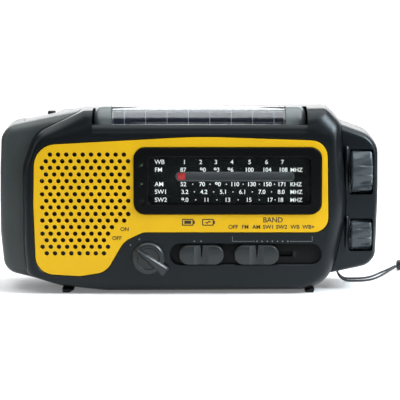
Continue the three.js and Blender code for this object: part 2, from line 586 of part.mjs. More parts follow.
// ---------------------------------------------------------------- crank and generator
const crankTooth = TRAIN_ANGLE;
const pinionTooth = TRAIN_ANGLE + Math.PI + Math.PI / PINION_TEETH.count;
const wheelTooth = Math.PI;
const generatorTooth = Math.PI / GENERATOR_TEETH.count;
function crankArm() {
  const arm = plate(rectangle(HUB.x - CRANK_THROW - 4.4, HUB.x + 5, HUB.z - 4.4, HUB.z + 4.4, 4.3),
    16, 19.3);
  const ears = [-3.9, 2.5].map((z) => box(
    HUB.x - CRANK_THROW - 3, HUB.x - CRANK_THROW + 2.2, 19, CRANK_KNOB_Y + 2.3,
    HUB.z + z, HUB.z + z + 1.4,
  ));
  return join(arm, discY(HUB.x, HUB.z, 2.9, 2, 17, 16), ...ears);
}
add('crank_arm', crankArm(), GREY);
add('crank_knob_pin', join(
  discZ(HUB.x - CRANK_THROW, CRANK_KNOB_Y, 2.6, HUB.z - 2.2, HUB.z + 2.2, 14),
  discX(CRANK_KNOB_Y, HUB.z, 1.5, HUB.x - CRANK_THROW, HUB.x - 6.6, 10),
  discX(CRANK_KNOB_Y, HUB.z, 2.6, HUB.x - 6.8, HUB.x - 5.6, 12),
), STEEL);
add('crank_knob', cut(
  discX(CRANK_KNOB_Y, HUB.z, 3.6, HUB.x - CRANK_THROW + 3.4, HUB.x - 7.1, 20),
  discX(CRANK_KNOB_Y, HUB.z, 1.85, -20, 60, 10),
), BLACK);
const bored = (outline, x, z, radius) => {
  outline.holes.push(polygon(x, z, radius, 12));
  return outline;
};
add('crank_gear', plate(bored(gear(HUB.x, HUB.z, CRANK_TEETH, crankTooth), HUB.x, HUB.z, 3.25),
  4, 8), WHITE);
add('idler_gear', cut(
  join(
    plate(gear(SPINDLE.x, SPINDLE.z, PINION_TEETH, pinionTooth), 2, 8.2),
    plate(gear(SPINDLE.x, SPINDLE.z, WHEEL_TEETH, wheelTooth), -1, 2.4),
  ),
  discY(SPINDLE.x, SPINDLE.z, 1.5, -10, 20, 8),
), WHITE);
add('generator_pinion', plate(bored(gear(GENERATOR.x, GENERATOR.z, GENERATOR_TEETH, generatorTooth),
  GENERATOR.x, GENERATOR.z, 1.3), -1, 2.4), BRASS);
add('generator', join(
  discY(GENERATOR.x, GENERATOR.z, GENERATOR.radius, -12.9, -2, 24),
  discY(GENERATOR.x, GENERATOR.z, 1, -3, 3.2, 8),
), STEEL);

// ---------------------------------------------------------------- batteries
add('battery_door', plate(rectangle(DOOR.x0, DOOR.x1, DOOR.z0, DOOR.z1, 2), DOOR.y, REAR_Y), BLACK);
[0, 1, 2].forEach((k) => {
  const half = CELL.length / 2;
  const cell = latheX([
    [-half, 0], [-half, CELL.radius], [half - 1.5, CELL.radius], [half - 1.5, 2.7], [half, 2.7],
    [half, 0],
  ], 0, 0, 16);
  if (k % 2) cell.rotateZ(Math.PI);
  cell.translate((BAY.x0 + BAY.x1) / 2, CELL.y, 51 + (k - 1) * CELL.pitch);
  add(`battery_cell_${k + 1}`, cell, COPPER);
});
const contact = (x, side) => join(
  box(Math.min(x, x + side * 0.5), Math.max(x, x + side * 0.5), 11, 25.6, 28.4, 73.6),
  ...[-1, 0, 1].map((k) => discX(CELL.y, 51 + k * CELL.pitch, 3, ...(side > 0
    ? [x, -78.25 - 0.4] : [-27.75 + 0.4, x]), 10)),
);
add('battery_contact_left', contact(BAY.x0 + GAP, 1), STEEL);
add('battery_contact_right', contact(BAY.x1 - GAP, -1), STEEL);
add('ferrite_rod', discX(14, 83.5, 4, -66, -6, 12), DARK);

// ---------------------------------------------------------------- flashlight
add('lamp_lens', discX(LAMP.y, LAMP.z, LAMP.radius, -104.6, -102.8, 24), CLEAR);
add('lamp_reflector', latheX([
  [-102.4, 12.8], [-93.6, 4.6], [-93.6, 2.9], [-94.6, 2.9], [-102.4, 11.4], [-102.4, 12.8],
], LAMP.y, LAMP.z, 20), STEEL);
add('lamp_button', plate(rectangle(-105.4, -100.4, BUTTON.z - BUTTON.half, BUTTON.z + BUTTON.half, 0.8),
  BUTTON.y - BUTTON.half, BUTTON.y + BUTTON.half), POD_GREY);

// ---------------------------------------------------------------- feet, screws and strap
const foot = (corners) => plate(new THREE.Shape(corners.map((p) => new THREE.Vector2(...p))), -20, 24);
add('foot_left', foot([[-70.2, 1.9], [-69.8, 0], [-66.4, 0], [-63.6, 1.6]]), RUBBER);
add('foot_right', foot([[64.6, 0.7], [65, 0], [69.2, 0], [69.8, 1.9]]), RUBBER);
SCREWS.forEach(([x, z], k) => {
  add(`housing_screw_${k + 1}`, join(
    discY(x, z, 2.9, 6.3, 8.4, 12),
    discY(x, z, 1.2, -14, 7, 8),
  ), STEEL);
});
add('strap_cord_rear', cordTube(STRAP_REAR, STRAP_RADIUS, 20), RUBBER);
add('strap_cord_front', cordTube(STRAP_FRONT, STRAP_RADIUS, 20), RUBBER);
add('strap_bead', latheX([
  [-2.6, 0], [-2.6, 1.9], [-1.6, 2.8], [0, 3.05], [1.6, 2.8], [2.6, 1.9], [2.6, 0],
], STRAP_BEAD[1], STRAP_BEAD[2], 12).translate(STRAP_BEAD[0], 0, 0), RUBBER);
add('strap_loop', cordTube(STRAP_LOOP, LOOP_RADIUS, 32), RUBBER);

export default radio;
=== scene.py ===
import math

import bmesh
import bpy
from mathutils import Matrix, Vector


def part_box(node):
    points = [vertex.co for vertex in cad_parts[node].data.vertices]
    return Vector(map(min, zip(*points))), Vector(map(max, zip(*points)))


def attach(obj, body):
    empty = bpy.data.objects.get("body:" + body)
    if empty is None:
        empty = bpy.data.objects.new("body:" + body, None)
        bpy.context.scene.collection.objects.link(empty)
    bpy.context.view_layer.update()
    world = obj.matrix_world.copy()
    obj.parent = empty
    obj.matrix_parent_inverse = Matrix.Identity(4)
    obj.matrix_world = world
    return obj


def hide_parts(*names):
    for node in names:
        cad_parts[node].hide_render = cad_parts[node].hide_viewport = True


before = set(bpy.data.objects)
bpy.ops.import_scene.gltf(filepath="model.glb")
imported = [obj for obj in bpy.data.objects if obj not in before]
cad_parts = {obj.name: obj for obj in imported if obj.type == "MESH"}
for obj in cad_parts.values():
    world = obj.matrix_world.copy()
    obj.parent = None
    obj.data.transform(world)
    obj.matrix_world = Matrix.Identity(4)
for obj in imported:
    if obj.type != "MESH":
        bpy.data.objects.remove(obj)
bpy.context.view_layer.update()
MM = 0.001
HOUSING = "housing"

# ------------------------------ sizes, in millimetres
FACE_Y, PARTING_Y, REAR_Y = -25.0, -2.0, 29.0
CAP_Y, POD_FACE_Y = -14.0, -12.5
SEAM_X = -91.6
WALL, GAP = 2.2, 0.3
# Beyond the object, for the tools that cut it.
LEFT_OUT, RIGHT_OUT, FRONT_OUT, BACK_OUT, LOW_OUT, HIGH_OUT = -160, 200, -60, 60, -60, 160

# Outlines in (x, z): each corner has the radius that rounds it.
FRONT = [
    (-89.6, 9.8, 6), (-71, 3.8, 25), (-46, 1, 60), (78.2, 1, 20), (88.2, 46, 80),
    (84.1, 94.5, 7), (76, 102.3, 6), (-57.5, 101.2, 6), (-84.5, 88.5, 16), (-91.3, 70, 24),
    (-91.3, 24, 50),
]
FRONT_FLAT = [
    (-86.2, 10.1, 9), (-70, 8.2, 25), (-46, 6.4, 60), (71.5, 6.4, 17), (78.4, 46, 80),
    (77.8, 86.4, 11), (64, 88.2, 30), (-50, 87.8, 30), (-82.6, 84.4, 13), (-86.8, 70, 24),
    (-87.1, 26, 50),
]
BODY = [
    (-102.9, 10.6, 9), (-71, 2.6, 30), (-48, 1, 60), (78.2, 1, 20), (88.2, 46, 80),
    (84.1, 94.5, 7), (76, 101.8, 6), (-58, 100.6, 12), (-103.6, 91.2, 10), (-104.9, 60, 60),
    (-104.9, 32, 60),
]
POD = [(70, 7, 6), (104.4, 14.2, 10), (105.4, 50, 60), (105, 85.5, 13), (70, 98, 6)]
POD_FLAT = [(70, 10.4, 6), (101.6, 17, 8), (103.2, 50, 60), (102.6, 82.4, 11), (70, 93.8, 6)]
PANEL = [
    (-84, 11.6, 10), (-60, 10.1, 14), (-45.5, 12.4, 10), (-35.5, 29.6, 12), (-25, 34.6, 8),
    (77, 34.6, 8), (76, 85.1, 9), (6.3, 87.5, 300), (-84.4, 82.6, 12), (-85.2, 50, 60),
]
BEZEL = (-29.8, 72.9, 44.8, 81.4)
WINDOW = (-22.3, 67.3, 49.7, 76.5)
SLOT = (-6.6, 57.8, 63.05, 67.25)
TRACK = (-9.9, 73.2, 16.6, 28.0)
KNOB = (-22.1, 20.2)
SPEAKER, SPEAKER_R = (-57.6, 51), 26
SLIDER_Z, SLIDER_SLOT = 22.3, (35, 57.6)
LEDS_X, LEDS_Z = -25.7, (72.0, 61.7, 51.2)
SOLAR = {"x0": -52.5, "x1": 65.0, "y": -5.0, "z": 90.0, "r": 12.5}
GLAZED = (-41.5, 52.5)
LIP_Z = 95.4
TUNING = {"y": -5.5, "z": 66.9, "r": 13.0}
VOLUME = {"y": -6.5, "z": 31.35, "r": 9.5}
WHEEL_WINDOWS = ((89.4, 102.4, 53.9, 79.2), (89.4, 102.4, 22.1, 40.5))
HUB = (38.0, 49.0)
DISH_R, DISH_FLOOR = 37.0, 15.2
GRIP_Y = 23.3
DOOR = (-86.2, -19.8, 24.8, 77.2)
BAY = (-84.0, -22.0, 27.0, 75.0)
ANTENNA = {"x": 72.0, "y": 20.0, "z": 95.8}
REST_Y = 13.5  # the front of the rest that the antenna lies in
LAMP = {"y": 5.0, "z": 60.0, "r": 13.5}
SWITCH_DEPTH = 3.0  # how far the switch bodies stand in front of the board
SCREWS = [(-80, 14.5), (-74, 84), (77.5, 81), (73.5, 12.5)]

# ------------------------------ camera
CAMERA_DISTANCE, VIEW_WIDTH, CAMERA_TILT = 1.1, 0.2192, math.radians(8)
SENSOR_WIDTH = 36
ahead = Vector((0, math.cos(CAMERA_TILT), -math.sin(CAMERA_TILT)))
aim = Vector((0.00635, -0.0266, 0.0528))
lens = bpy.data.cameras.new("camera")
lens.sensor_width = SENSOR_WIDTH
lens.lens = SENSOR_WIDTH * CAMERA_DISTANCE / VIEW_WIDTH
camera = bpy.data.objects.new("camera", lens)
bpy.context.scene.collection.objects.link(camera)
camera.location = aim - ahead * CAMERA_DISTANCE
camera.rotation_euler = (math.pi / 2 - CAMERA_TILT, 0, 0)
bpy.context.scene.camera = camera


# ------------------------------ shape helpers
def new_object(name, mesh, material=None):
    piece = bpy.data.objects.new(name, mesh)
    bpy.context.scene.collection.objects.link(piece)
    if material:
        mesh.materials.clear()
        mesh.materials.append(material)
    return piece


def mesh_of(points, faces, name="shape"):
    """A mesh from points in millimetres."""
    mesh = bpy.data.meshes.new(name)
    mesh.from_pydata([(x * MM, y * MM, z * MM) for x, y, z in points], [], faces)
    mesh.update()
    return mesh


def finished(piece, body=HOUSING, replaces=(), angle=32):
    """Smooth shading with sharp creases; the piece rides on its body."""
    if piece.type == "MESH":
        piece.data.polygons.foreach_set("use_smooth", [True] * len(piece.data.polygons))
        piece.data.set_sharp_from_angle(angle=math.radians(angle))
    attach(piece, body)
    if replaces:
        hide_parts(*replaces)
    return piece


def painted(piece, material, name=None):
    piece.data.materials.clear()
    piece.data.materials.append(material)
    if name:
        piece.name = name
    return piece


ARC_POINTS, EDGE_POINTS = 6, 3


def outline(corners, arc=ARC_POINTS):
    """Closed outline in (x, z), the same number of points for each corner and each edge."""
    count = len(corners)
    arcs = []
    for i, (x, z, radius) in enumerate(corners):
        here = Vector((x, z))
        before = Vector(corners[i - 1][:2]) - here
        after = Vector(corners[(i + 1) % count][:2]) - here
        half = before.angle(after) / 2
        reach = min(radius / math.tan(half), 0.48 * before.length, 0.48 * after.length)
        radius = reach * math.tan(half)
        middle = here + (before.normalized() + after.normalized()).normalized() * (
            radius / math.sin(half)
        )
        a = before.normalized() * reach + here - middle
        b = after.normalized() * reach + here - middle
        start = math.atan2(a.y, a.x)
        sweep = (math.atan2(b.y, b.x) - start + math.pi) % math.tau - math.pi
        arcs.append([
            middle + radius * Vector((math.cos(t), math.sin(t)))
            for t in (start + sweep * k / arc for k in range(arc + 1))
        ])
    points = []
    for i, curve in enumerate(arcs):
        points += curve
        following = arcs[(i + 1) % count][0]
        points += [
            curve[-1].lerp(following, k / (EDGE_POINTS + 1)) for k in range(1, EDGE_POINTS + 1)
        ]
    return [(p.x, p.y) for p in points]


def inset(corners, distance):
    """The corners moved inwards, each radius made smaller to suit."""
    moved = []
    count = len(corners)
    for i, (x, z, radius) in enumerate(corners):
        here = Vector((x, z))
        a = (here - Vector(corners[i - 1][:2])).normalized()
        b = (Vector(corners[(i + 1) % count][:2]) - here).normalized()
        turn = a.x * b.y - a.y * b.x
        shift = Vector((-a.y, a.x)) - Vector((-b.y, b.x))
        along = (shift.x * b.y - shift.y * b.x) / -turn
        point = here + Vector((-a.y, a.x)) * distance + a * along * distance
        moved.append((point.x, point.y, max(0.3, radius - math.copysign(distance, turn))))
    return moved


def rectangle(x0, x1, z0, z1, radius):
    return [(x0, z0, radius), (x1, z0, radius), (x1, z1, radius), (x0, z1, radius)]


def grown(edges, distance, radius):
    """The corners of a rectangle made larger all round."""
    x0, x1, z0, z1 = edges
    return rectangle(x0 - distance, x1 + distance, z0 - distance, z1 + distance, radius)


def circle(x, z, radius, sides=32):
    return [
        (x + radius * math.cos(math.tau * k / sides), z + radius * math.sin(math.tau * k / sides))
        for k in range(sides)
    ]


def loft(rings, name="loft"):
    """A closed mesh through rings of the same number of points, the ends filled."""
    size = len(rings[0])
    points = [p for ring in rings for p in ring]
    faces = []
    for r in range(len(rings) - 1):
        for k in range(size):
            a, b = r * size + k, r * size + (k + 1) % size
            faces.append((a, b, b + size, a + size))
    faces.append(tuple(range(size - 1, -1, -1)))
    faces.append(tuple(range((len(rings) - 1) * size, len(rings) * size)))
    mesh = mesh_of(points, faces, name)
    mesh.validate()
    work = new_object(name, mesh)
    bpy.context.view_layer.objects.active = work
    return outward(work)


def outward(piece):
    """The piece with its faces turned outwards."""
    shape = bmesh.new()
    shape.from_mesh(piece.data)
    bmesh.ops.recalc_face_normals(shape, faces=shape.faces)
    if shape.calc_volume(signed=True) < 0:
        bmesh.ops.reverse_faces(shape, faces=shape.faces)
    shape.to_mesh(piece.data)
    shape.free()
    return piece


def slab(outer, front, back, y0, y0_round, y1_round, y1, steps=8):
    """A body whose side is the outline "outer" from y0_round to y1_round.

    It rolls over to the outline "front" at y0 and to the outline "back" at y1; either may be
    None, for a square end. y0_round may be a function of x.
    """
    side = outline(outer)
    depth_at = y0_round if callable(y0_round) else (lambda x: y0_round)
    turns = [math.pi / 2 * k / steps for k in range(1, steps + 1)]
    rings = []
    if front:
        rings += rolled(side, outline(front), depth_at, y0, reversed(turns))
    rings.append([(x, depth_at(x) if front else y0, z) for x, z in side])
    rings.append([(x, y1_round if back else y1, z) for x, z in side])
    if back:
        rings += rolled(side, outline(back), lambda x: y1_round, y1, turns)
    return loft(rings)


def rolled(side, flat, depth_at, end, turns):
    """Rings that roll over from the outline "side" to the outline "flat" at the depth "end"."""
    rings = []
    for turn in turns:
        share, reach = 1 - math.cos(turn), math.sin(turn)
        rings.append([
            (xo + (xi - xo) * share, depth_at(xo) + (end - depth_at(xo)) * reach,
             zo + (zi - zo) * share)
            for (xo, zo), (xi, zi) in zip(side, flat)
        ])
    return rings


def block(x0, x1, y0, y1, z0, z1):
    points = [(x, y, z) for x in (x0, x1) for y in (y0, y1) for z in (z0, z1)]
    faces = [(0, 1, 3, 2), (4, 6, 7, 5), (0, 4, 5, 1), (2, 3, 7, 6), (0, 2, 6, 4), (1, 5, 7, 3)]
    return outward(new_object("block", mesh_of(points, faces, "block")))


def prism(points, y0, y1, flare=0.0):
    """An outline in (x, z) from y0 to y1; flare widens the front end by that much, as a chamfer."""
    rings = [[(x, y1, z) for x, z in points]]
    if flare:
        rings.append([(x, y0 + flare, z) for x, z in points])
        centre = Vector((sum(p[0] for p in points), sum(p[1] for p in points))) / len(points)
        wide = widened(points, flare)
        rings.append([(x, y0, z) for x, z in wide])
        rings.append([(x, y0 - 4, z) for x, z in wide])
    else:
        rings.append([(x, y0, z) for x, z in points])
    return loft(rings, "prism")


def widened(points, distance):
    """Every point of an anticlockwise outline moved outwards."""
    count = len(points)
    moved = []
    for i in range(count):
        a, b = Vector(points[i - 1]), Vector(points[(i + 1) % count])
        along = (b - a).normalized()
        moved.append((points[i][0] + along.y * distance, points[i][1] - along.x * distance))
    return moved


def turned(profile, axis, centre, sides=48, name="turned"):
    """A solid of revolution about an axis through centre; its profile is (along, radius)."""
    rings = []
    for along, radius in profile:
        ring = []
        for k in range(sides):
            t = math.tau * k / sides
            u, v = radius * math.cos(t), radius * math.sin(t)
            if axis == "X":
                ring.append((along, centre[0] + u, centre[1] + v))
            elif axis == "Y":
                ring.append((centre[0] + u, along, centre[1] + v))
            else:
                ring.append((centre[0] + u, centre[1] + v, along))
        rings.append(ring)
    return loft(rings, name)


def rod_profile(x0, x1, radius, round0, round1, steps=5):
    """The profile of a rod from x0 to x1 whose ends are rounded."""
    quarter = [math.pi / 2 * k / steps for k in range(steps + 1)]
    start = [(x0 + round0 * (1 - math.sin(t)), radius - round0 * (1 - math.cos(t)))
             for t in reversed(quarter)]
    end = [(x1 - round1 * (1 - math.sin(t)), radius - round1 * (1 - math.cos(t)))
           for t in quarter]
    return start + end


def carve(target, *tools, operation="DIFFERENCE"):
    """The target after exact booleans with the tools, which are used up."""
    for tool in tools:
        modifier = target.modifiers.new("carve", "BOOLEAN")
        modifier.object = tool
        modifier.operation = operation
        modifier.solver = "EXACT"
    bpy.context.view_layer.update()
    graph = bpy.context.evaluated_depsgraph_get()
    mesh = bpy.data.meshes.new_from_object(target.evaluated_get(graph))
    target.modifiers.clear()
    target.data = mesh
    for tool in tools:
        bpy.data.objects.remove(tool)
    return target


def plate(name, loops, y0, y1, bevel, material, resolution=2):
    """A flat plate with rounded edges; the first loop is its outline and the others are holes."""
    curve = bpy.data.curves.new(name, "CURVE")
    curve.dimensions = "2D"
    curve.fill_mode = "BOTH"
    for loop in loops:
        spline = curve.splines.new("POLY")
        spline.points.add(len(loop) - 1)
        for point, (x, z) in zip(spline.points, loop):
            point.co = (x * MM, z * MM, 0, 1)
        spline.use_cyclic_u = True
    curve.extrude = ((y1 - y0) / 2 - bevel) * MM
    curve.bevel_depth = bevel * MM
    curve.bevel_resolution = resolution
    curve.offset = -bevel * MM
    source = new_object(name + "_curve", curve)
    bpy.context.view_layer.update()
    graph = bpy.context.evaluated_depsgraph_get()
    mesh = bpy.data.meshes.new_from_object(source.evaluated_get(graph))
    bpy.data.objects.remove(source)
    mesh.transform(Matrix.Rotation(math.pi / 2, 4, "X"))
    mesh.transform(Matrix.Translation((0, (y0 + y1) / 2 * MM, 0)))
    return new_object(name, mesh, material)


def joined(name, pieces, material=None):
    """The pieces as one object."""
    shape = bmesh.new()
    for piece in pieces:
        mesh = piece.data.copy()
        mesh.transform(piece.matrix_world)
        shape.from_mesh(mesh)
    mesh = bpy.data.meshes.new(name)
    shape.to_mesh(mesh)
    shape.free()
    keep = material or (pieces[0].data.materials[0] if pieces[0].data.materials else None)
    for piece in pieces:
        bpy.data.objects.remove(piece)
    return new_object(name, mesh, keep)


def lettering(words, x, z, height, y, material, name, align="CENTER", weight=0.0):
    """Raised print on a front face: its middle at x, its foot at z."""
    text = bpy.data.curves.new(name, "FONT")
    text.body = words
    text.size = height / 0.7 * MM
    text.align_x = align
    text.extrude = 0.03 * MM
    text.offset = weight * MM
    source = new_object(name, text)
    source.matrix_world = (
        Matrix.Translation((x * MM, y * MM, z * MM))
        @ Matrix.Rotation(math.pi / 2, 4, "X")
    )
    bpy.context.view_layer.update()
    graph = bpy.context.evaluated_depsgraph_get()
    mesh = bpy.data.meshes.new_from_object(source.evaluated_get(graph))
    mesh.transform(source.matrix_world)
    bpy.data.objects.remove(source)
    return new_object(name, mesh, material)


# ------------------------------ materials
def srgb(red, green, blue):
    def linear(c):
        c /= 255
        return c / 12.92 if c < 0.04045 else ((c + 0.055) / 1.055) ** 2.4
    return (linear(red), linear(green), linear(blue), 1)


def tinted(colour, gain):
    return tuple(min(1.0, c * gain) for c in colour[:3]) + (1,)


MOTTLE_SCALE = 45
RELIEF_HEIGHT = 0.0003


def noise(tree, mapping, scale, detail):
    texture = tree.nodes.new("ShaderNodeTexNoise")
    texture.inputs["Scale"].default_value = scale
    texture.inputs["Detail"].default_value = detail
    tree.links.new(mapping.outputs["Vector"], texture.inputs["Vector"])
    return texture


def finish_of(
    name, colour, roughness=0.4, grain=900, bump=0.06, mottle=0.1, metallic=0.0, coat=0.0,
    coat_roughness=0.1, specular=0.5, stretch=(1, 1, 1), glow=0.0, alpha=1.0,
    gloss=(1, 1, 1, 1),
):
    """A moulded or metal finish: its colour and roughness vary gently, and it has a fine grain."""
    material = bpy.data.materials.new(name)
    material.use_nodes = True
    tree = material.node_tree
    shader = tree.nodes["Principled BSDF"]
    place = tree.nodes.new("ShaderNodeTexCoord")
    scale = tree.nodes.new("ShaderNodeMapping")
    scale.inputs["Scale"].default_value = stretch
    tree.links.new(place.outputs["Object"], scale.inputs["Vector"])
    broad = noise(tree, scale, MOTTLE_SCALE, 4)
    fine = noise(tree, scale, grain, 2)
    ramp = tree.nodes.new("ShaderNodeValToRGB")
    for stop, position, gain in zip(ramp.color_ramp.elements, (0.3, 0.7), (1 - mottle, 1 + mottle)):
        stop.position = position
        stop.color = tinted(colour, gain)
    tree.links.new(broad.outputs["Fac"], ramp.inputs["Fac"])
    tree.links.new(ramp.outputs["Color"], shader.inputs["Base Color"])
    spread = tree.nodes.new("ShaderNodeMapRange")
    spread.inputs["To Min"].default_value = roughness * 0.88
    spread.inputs["To Max"].default_value = min(1, roughness * 1.12)
    tree.links.new(fine.outputs["Fac"], spread.inputs["Value"])
    tree.links.new(spread.outputs["Result"], shader.inputs["Roughness"])
    relief = tree.nodes.new("ShaderNodeBump")
    relief.inputs["Strength"].default_value = bump
    relief.inputs["Distance"].default_value = RELIEF_HEIGHT
    tree.links.new(fine.outputs["Fac"], relief.inputs["Height"])
    tree.links.new(relief.outputs["Normal"], shader.inputs["Normal"])
    shader.inputs["Metallic"].default_value = metallic
    shader.inputs["Coat Weight"].default_value = coat
    shader.inputs["Coat Roughness"].default_value = coat_roughness
    shader.inputs["Specular IOR Level"].default_value = specular
    shader.inputs["Specular Tint"].default_value = gloss
    shader.inputs["Alpha"].default_value = alpha
    # Glow makes a surface give out light in its own colour: painted light on the dial slot, the
    # dial print and the pointer, which are no lamps.
    if glow:
        shader.inputs["Emission Color"].default_value = colour
        shader.inputs["Emission Strength"].default_value = glow
    return material


def calculated(tree, operation, *values):
    """The output of a Math node, whose inputs are numbers or other outputs."""
    node = tree.nodes.new("ShaderNodeMath")
    node.operation = operation
    for socket, value in zip(node.inputs, values):
        if isinstance(value, float):
            socket.default_value = value
        else:
            tree.links.new(value, socket)
    return node.outputs[0]


def tiled(name, colour, line, size, axes=("X", "Z"), thickness=0.08, **keep):
    """A finish ruled with thin lines, as on a solar cell or a woven cord."""
    material = finish_of(name, colour, **keep)
    tree = material.node_tree
    shader = tree.nodes["Principled BSDF"]
    place = tree.nodes.new("ShaderNodeTexCoord")
    split = tree.nodes.new("ShaderNodeSeparateXYZ")
    tree.links.new(place.outputs["Object"], split.inputs["Vector"])
    edges = []
    for axis, pitch in zip(axes, size):
        wrap = calculated(tree, "PINGPONG", split.outputs[axis], pitch * MM / 2)
        edges.append(calculated(tree, "LESS_THAN", wrap, thickness * MM))
    lines = calculated(tree, "MAXIMUM", *edges)
    mix = tree.nodes.new("ShaderNodeMix")
    mix.data_type = "RGBA"
    base = shader.inputs["Base Color"].links[0].from_socket
    tree.links.new(lines, mix.inputs["Factor"])
    tree.links.new(base, mix.inputs[6])
    mix.inputs[7].default_value = line
    tree.links.new(mix.outputs[2], shader.inputs["Base Color"])
    return material


COOL = (0.84, 0.95, 1, 1)
BLACK_SHELL = finish_of(
    "black_shell", srgb(15, 18, 21), 0.32, specular=0.26, mottle=0.06, gloss=COOL,
)
# On the left cap this light grey is painted light: the black plastic of the cap drawn lighter where
# its side faces the light. The crank arm takes the same grey.
CAP_LIGHT_AND_CRANK_GREY = finish_of("grey_shell", srgb(58, 64, 65), 0.4, bump=0.1, specular=0.4)
POD_SHELL = finish_of(
    "pod_grey", srgb(19, 24, 28), 0.33, bump=0.08, specular=0.26, gloss=COOL,
)
YELLOW = finish_of("yellow", srgb(228, 180, 2), 0.42, mottle=0.04, bump=0.05, specular=0.3)
BEZEL_BLACK = finish_of("bezel_black", srgb(9, 11, 12), 0.3, bump=0.02, specular=0.1)
DIAL_FACE = finish_of("dial_face", srgb(10, 16, 16), 0.5, grain=2000, bump=0.05, specular=0.12)
# The slot's grey glows: painted light that lifts the slot's rim and back out of the shade behind
# the scale.
SLOT_GREY_PAINTED_GLOW = finish_of("dial_slot_grey_painted_glow", srgb(74, 80, 83), 0.5, glow=0.5)
CONTROL_GREY = finish_of("control_grey", srgb(35, 40, 42), 0.3, bump=0.1, specular=0.4)
WHEEL_GREY = finish_of("wheel_grey", srgb(56, 62, 66), 0.26, bump=0.12, gloss=COOL)
SOLAR_SHELL = finish_of("solar_shell", srgb(88, 95, 96), 0.3, bump=0.08)
# White print; its glow is painted light that brightens the figures behind the dial glass.
PRINT_WHITE_PAINTED_GLOW = finish_of("print_white_painted_glow", srgb(232, 238, 236), 0.6, mottle=0.03, glow=0.5)
PRINT_BLACK = finish_of("print_black", srgb(26, 26, 24), 0.6)
# Red pointer; its glow is painted light that brightens it behind the dial glass.
POINTER_RED_PAINTED_GLOW = finish_of("pointer_red_painted_glow", srgb(176, 44, 46), 0.4, glow=0.2)
LED_GREEN = finish_of("led_green", srgb(34, 52, 36), 0.2)
TRACK_BLACK = finish_of("track_black", srgb(14, 16, 17), 0.6, specular=0.15)
LINE_GREY = finish_of("line_grey", srgb(126, 132, 134), 0.6)
DARK_HOLE = finish_of("dark_hole", srgb(14, 14, 15), 0.8)
STEEL = finish_of("steel", srgb(190, 193, 196), 0.3, metallic=1, stretch=(0.2, 1, 1))
CHROME = finish_of("chrome", srgb(150, 154, 158), 0.2, metallic=1, bump=0.01, mottle=0.03)
BRASS = finish_of("brass", srgb(190, 155, 80), 0.3, metallic=1)
NYLON = finish_of("white_nylon", srgb(214, 214, 205), 0.5)
BOARD = tiled("board", srgb(12, 34, 24), srgb(24, 54, 38), (2.3, 2.9), roughness=0.5)
PAPER_CONE = finish_of("speaker_cone", srgb(40, 38, 36), 0.9, grain=1500, bump=0.4)
BATTERY = finish_of("battery", srgb(60, 62, 66), 0.3, mottle=0.3)
RUBBER = finish_of("rubber", srgb(24, 25, 26), 0.85, bump=0.25)
CORD_BLACK = tiled(
    "braided_cord", srgb(30, 31, 34), srgb(62, 64, 68), (0.9, 0.9), axes=("X", "Y"),
    thickness=0.12, roughness=0.8, bump=0.5, grain=2600,
)
BEAD_BLACK = finish_of("bead", srgb(30, 32, 36), 0.35)
CLEAR = finish_of("clear_plastic", srgb(40, 44, 46), 0.06, alpha=0.05, bump=0.0, mottle=0.05)
SOLAR_CLEAR = finish_of("solar_window", srgb(238, 244, 246), 0.03, bump=0.0, mottle=0.01)
SOLAR_CLEAR.node_tree.nodes["Principled BSDF"].inputs["Transmission Weight"].default_value = 1
CELLS = tiled(
    "solar_cells", srgb(26, 33, 52), srgb(150, 158, 168), (11.75, 40), thickness=0.16,
    axes=("X", "Z"), roughness=0.16, coat=0.25, coat_roughness=0.03, bump=0.02, specular=0.2,
)
LAMP_CLEAR = finish_of("lamp_clear", srgb(190, 200, 205), 0.05, alpha=0.18, bump=0.0)
REFLECTOR = finish_of("reflector", srgb(225, 226, 228), 0.08, metallic=1, bump=0.0)
LAMP_WHITE = finish_of("lamp_white", srgb(240, 238, 220), 0.3, glow=0.3)
STAGE_WHITE = finish_of("stage_white", srgb(222, 223, 224), 0.9, mottle=0.01, bump=0.0, glow=0.22)

for node, material in {
    "speaker_frame": STEEL, "speaker_cone": PAPER_CONE, "speaker_magnet": STEEL,
    "main_board": BOARD, "tuning_capacitor": CONTROL_GREY, "volume_control": STEEL,
    "dial_cord": NYLON, "dial_pulley_left": NYLON, "dial_pulley_right": NYLON,
    "crank_gear": NYLON, "idler_gear": NYLON, "generator_pinion": BRASS, "generator": STEEL,
    "battery_contact_left": STEEL, "battery_contact_right": STEEL, "ferrite_rod": DARK_HOLE,
    "foot_left": RUBBER, "foot_right": RUBBER,
}.items():
    painted(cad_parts[node], material)

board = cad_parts["main_board"]
board.data.materials.append(TRACK_BLACK)
board_front = min((board.matrix_world @ Vector(corner)).y for corner in board.bound_box)
for face in board.data.polygons:
    if (board.matrix_world @ face.center).y < board_front + SWITCH_DEPTH * MM:
        face.material_index = 1


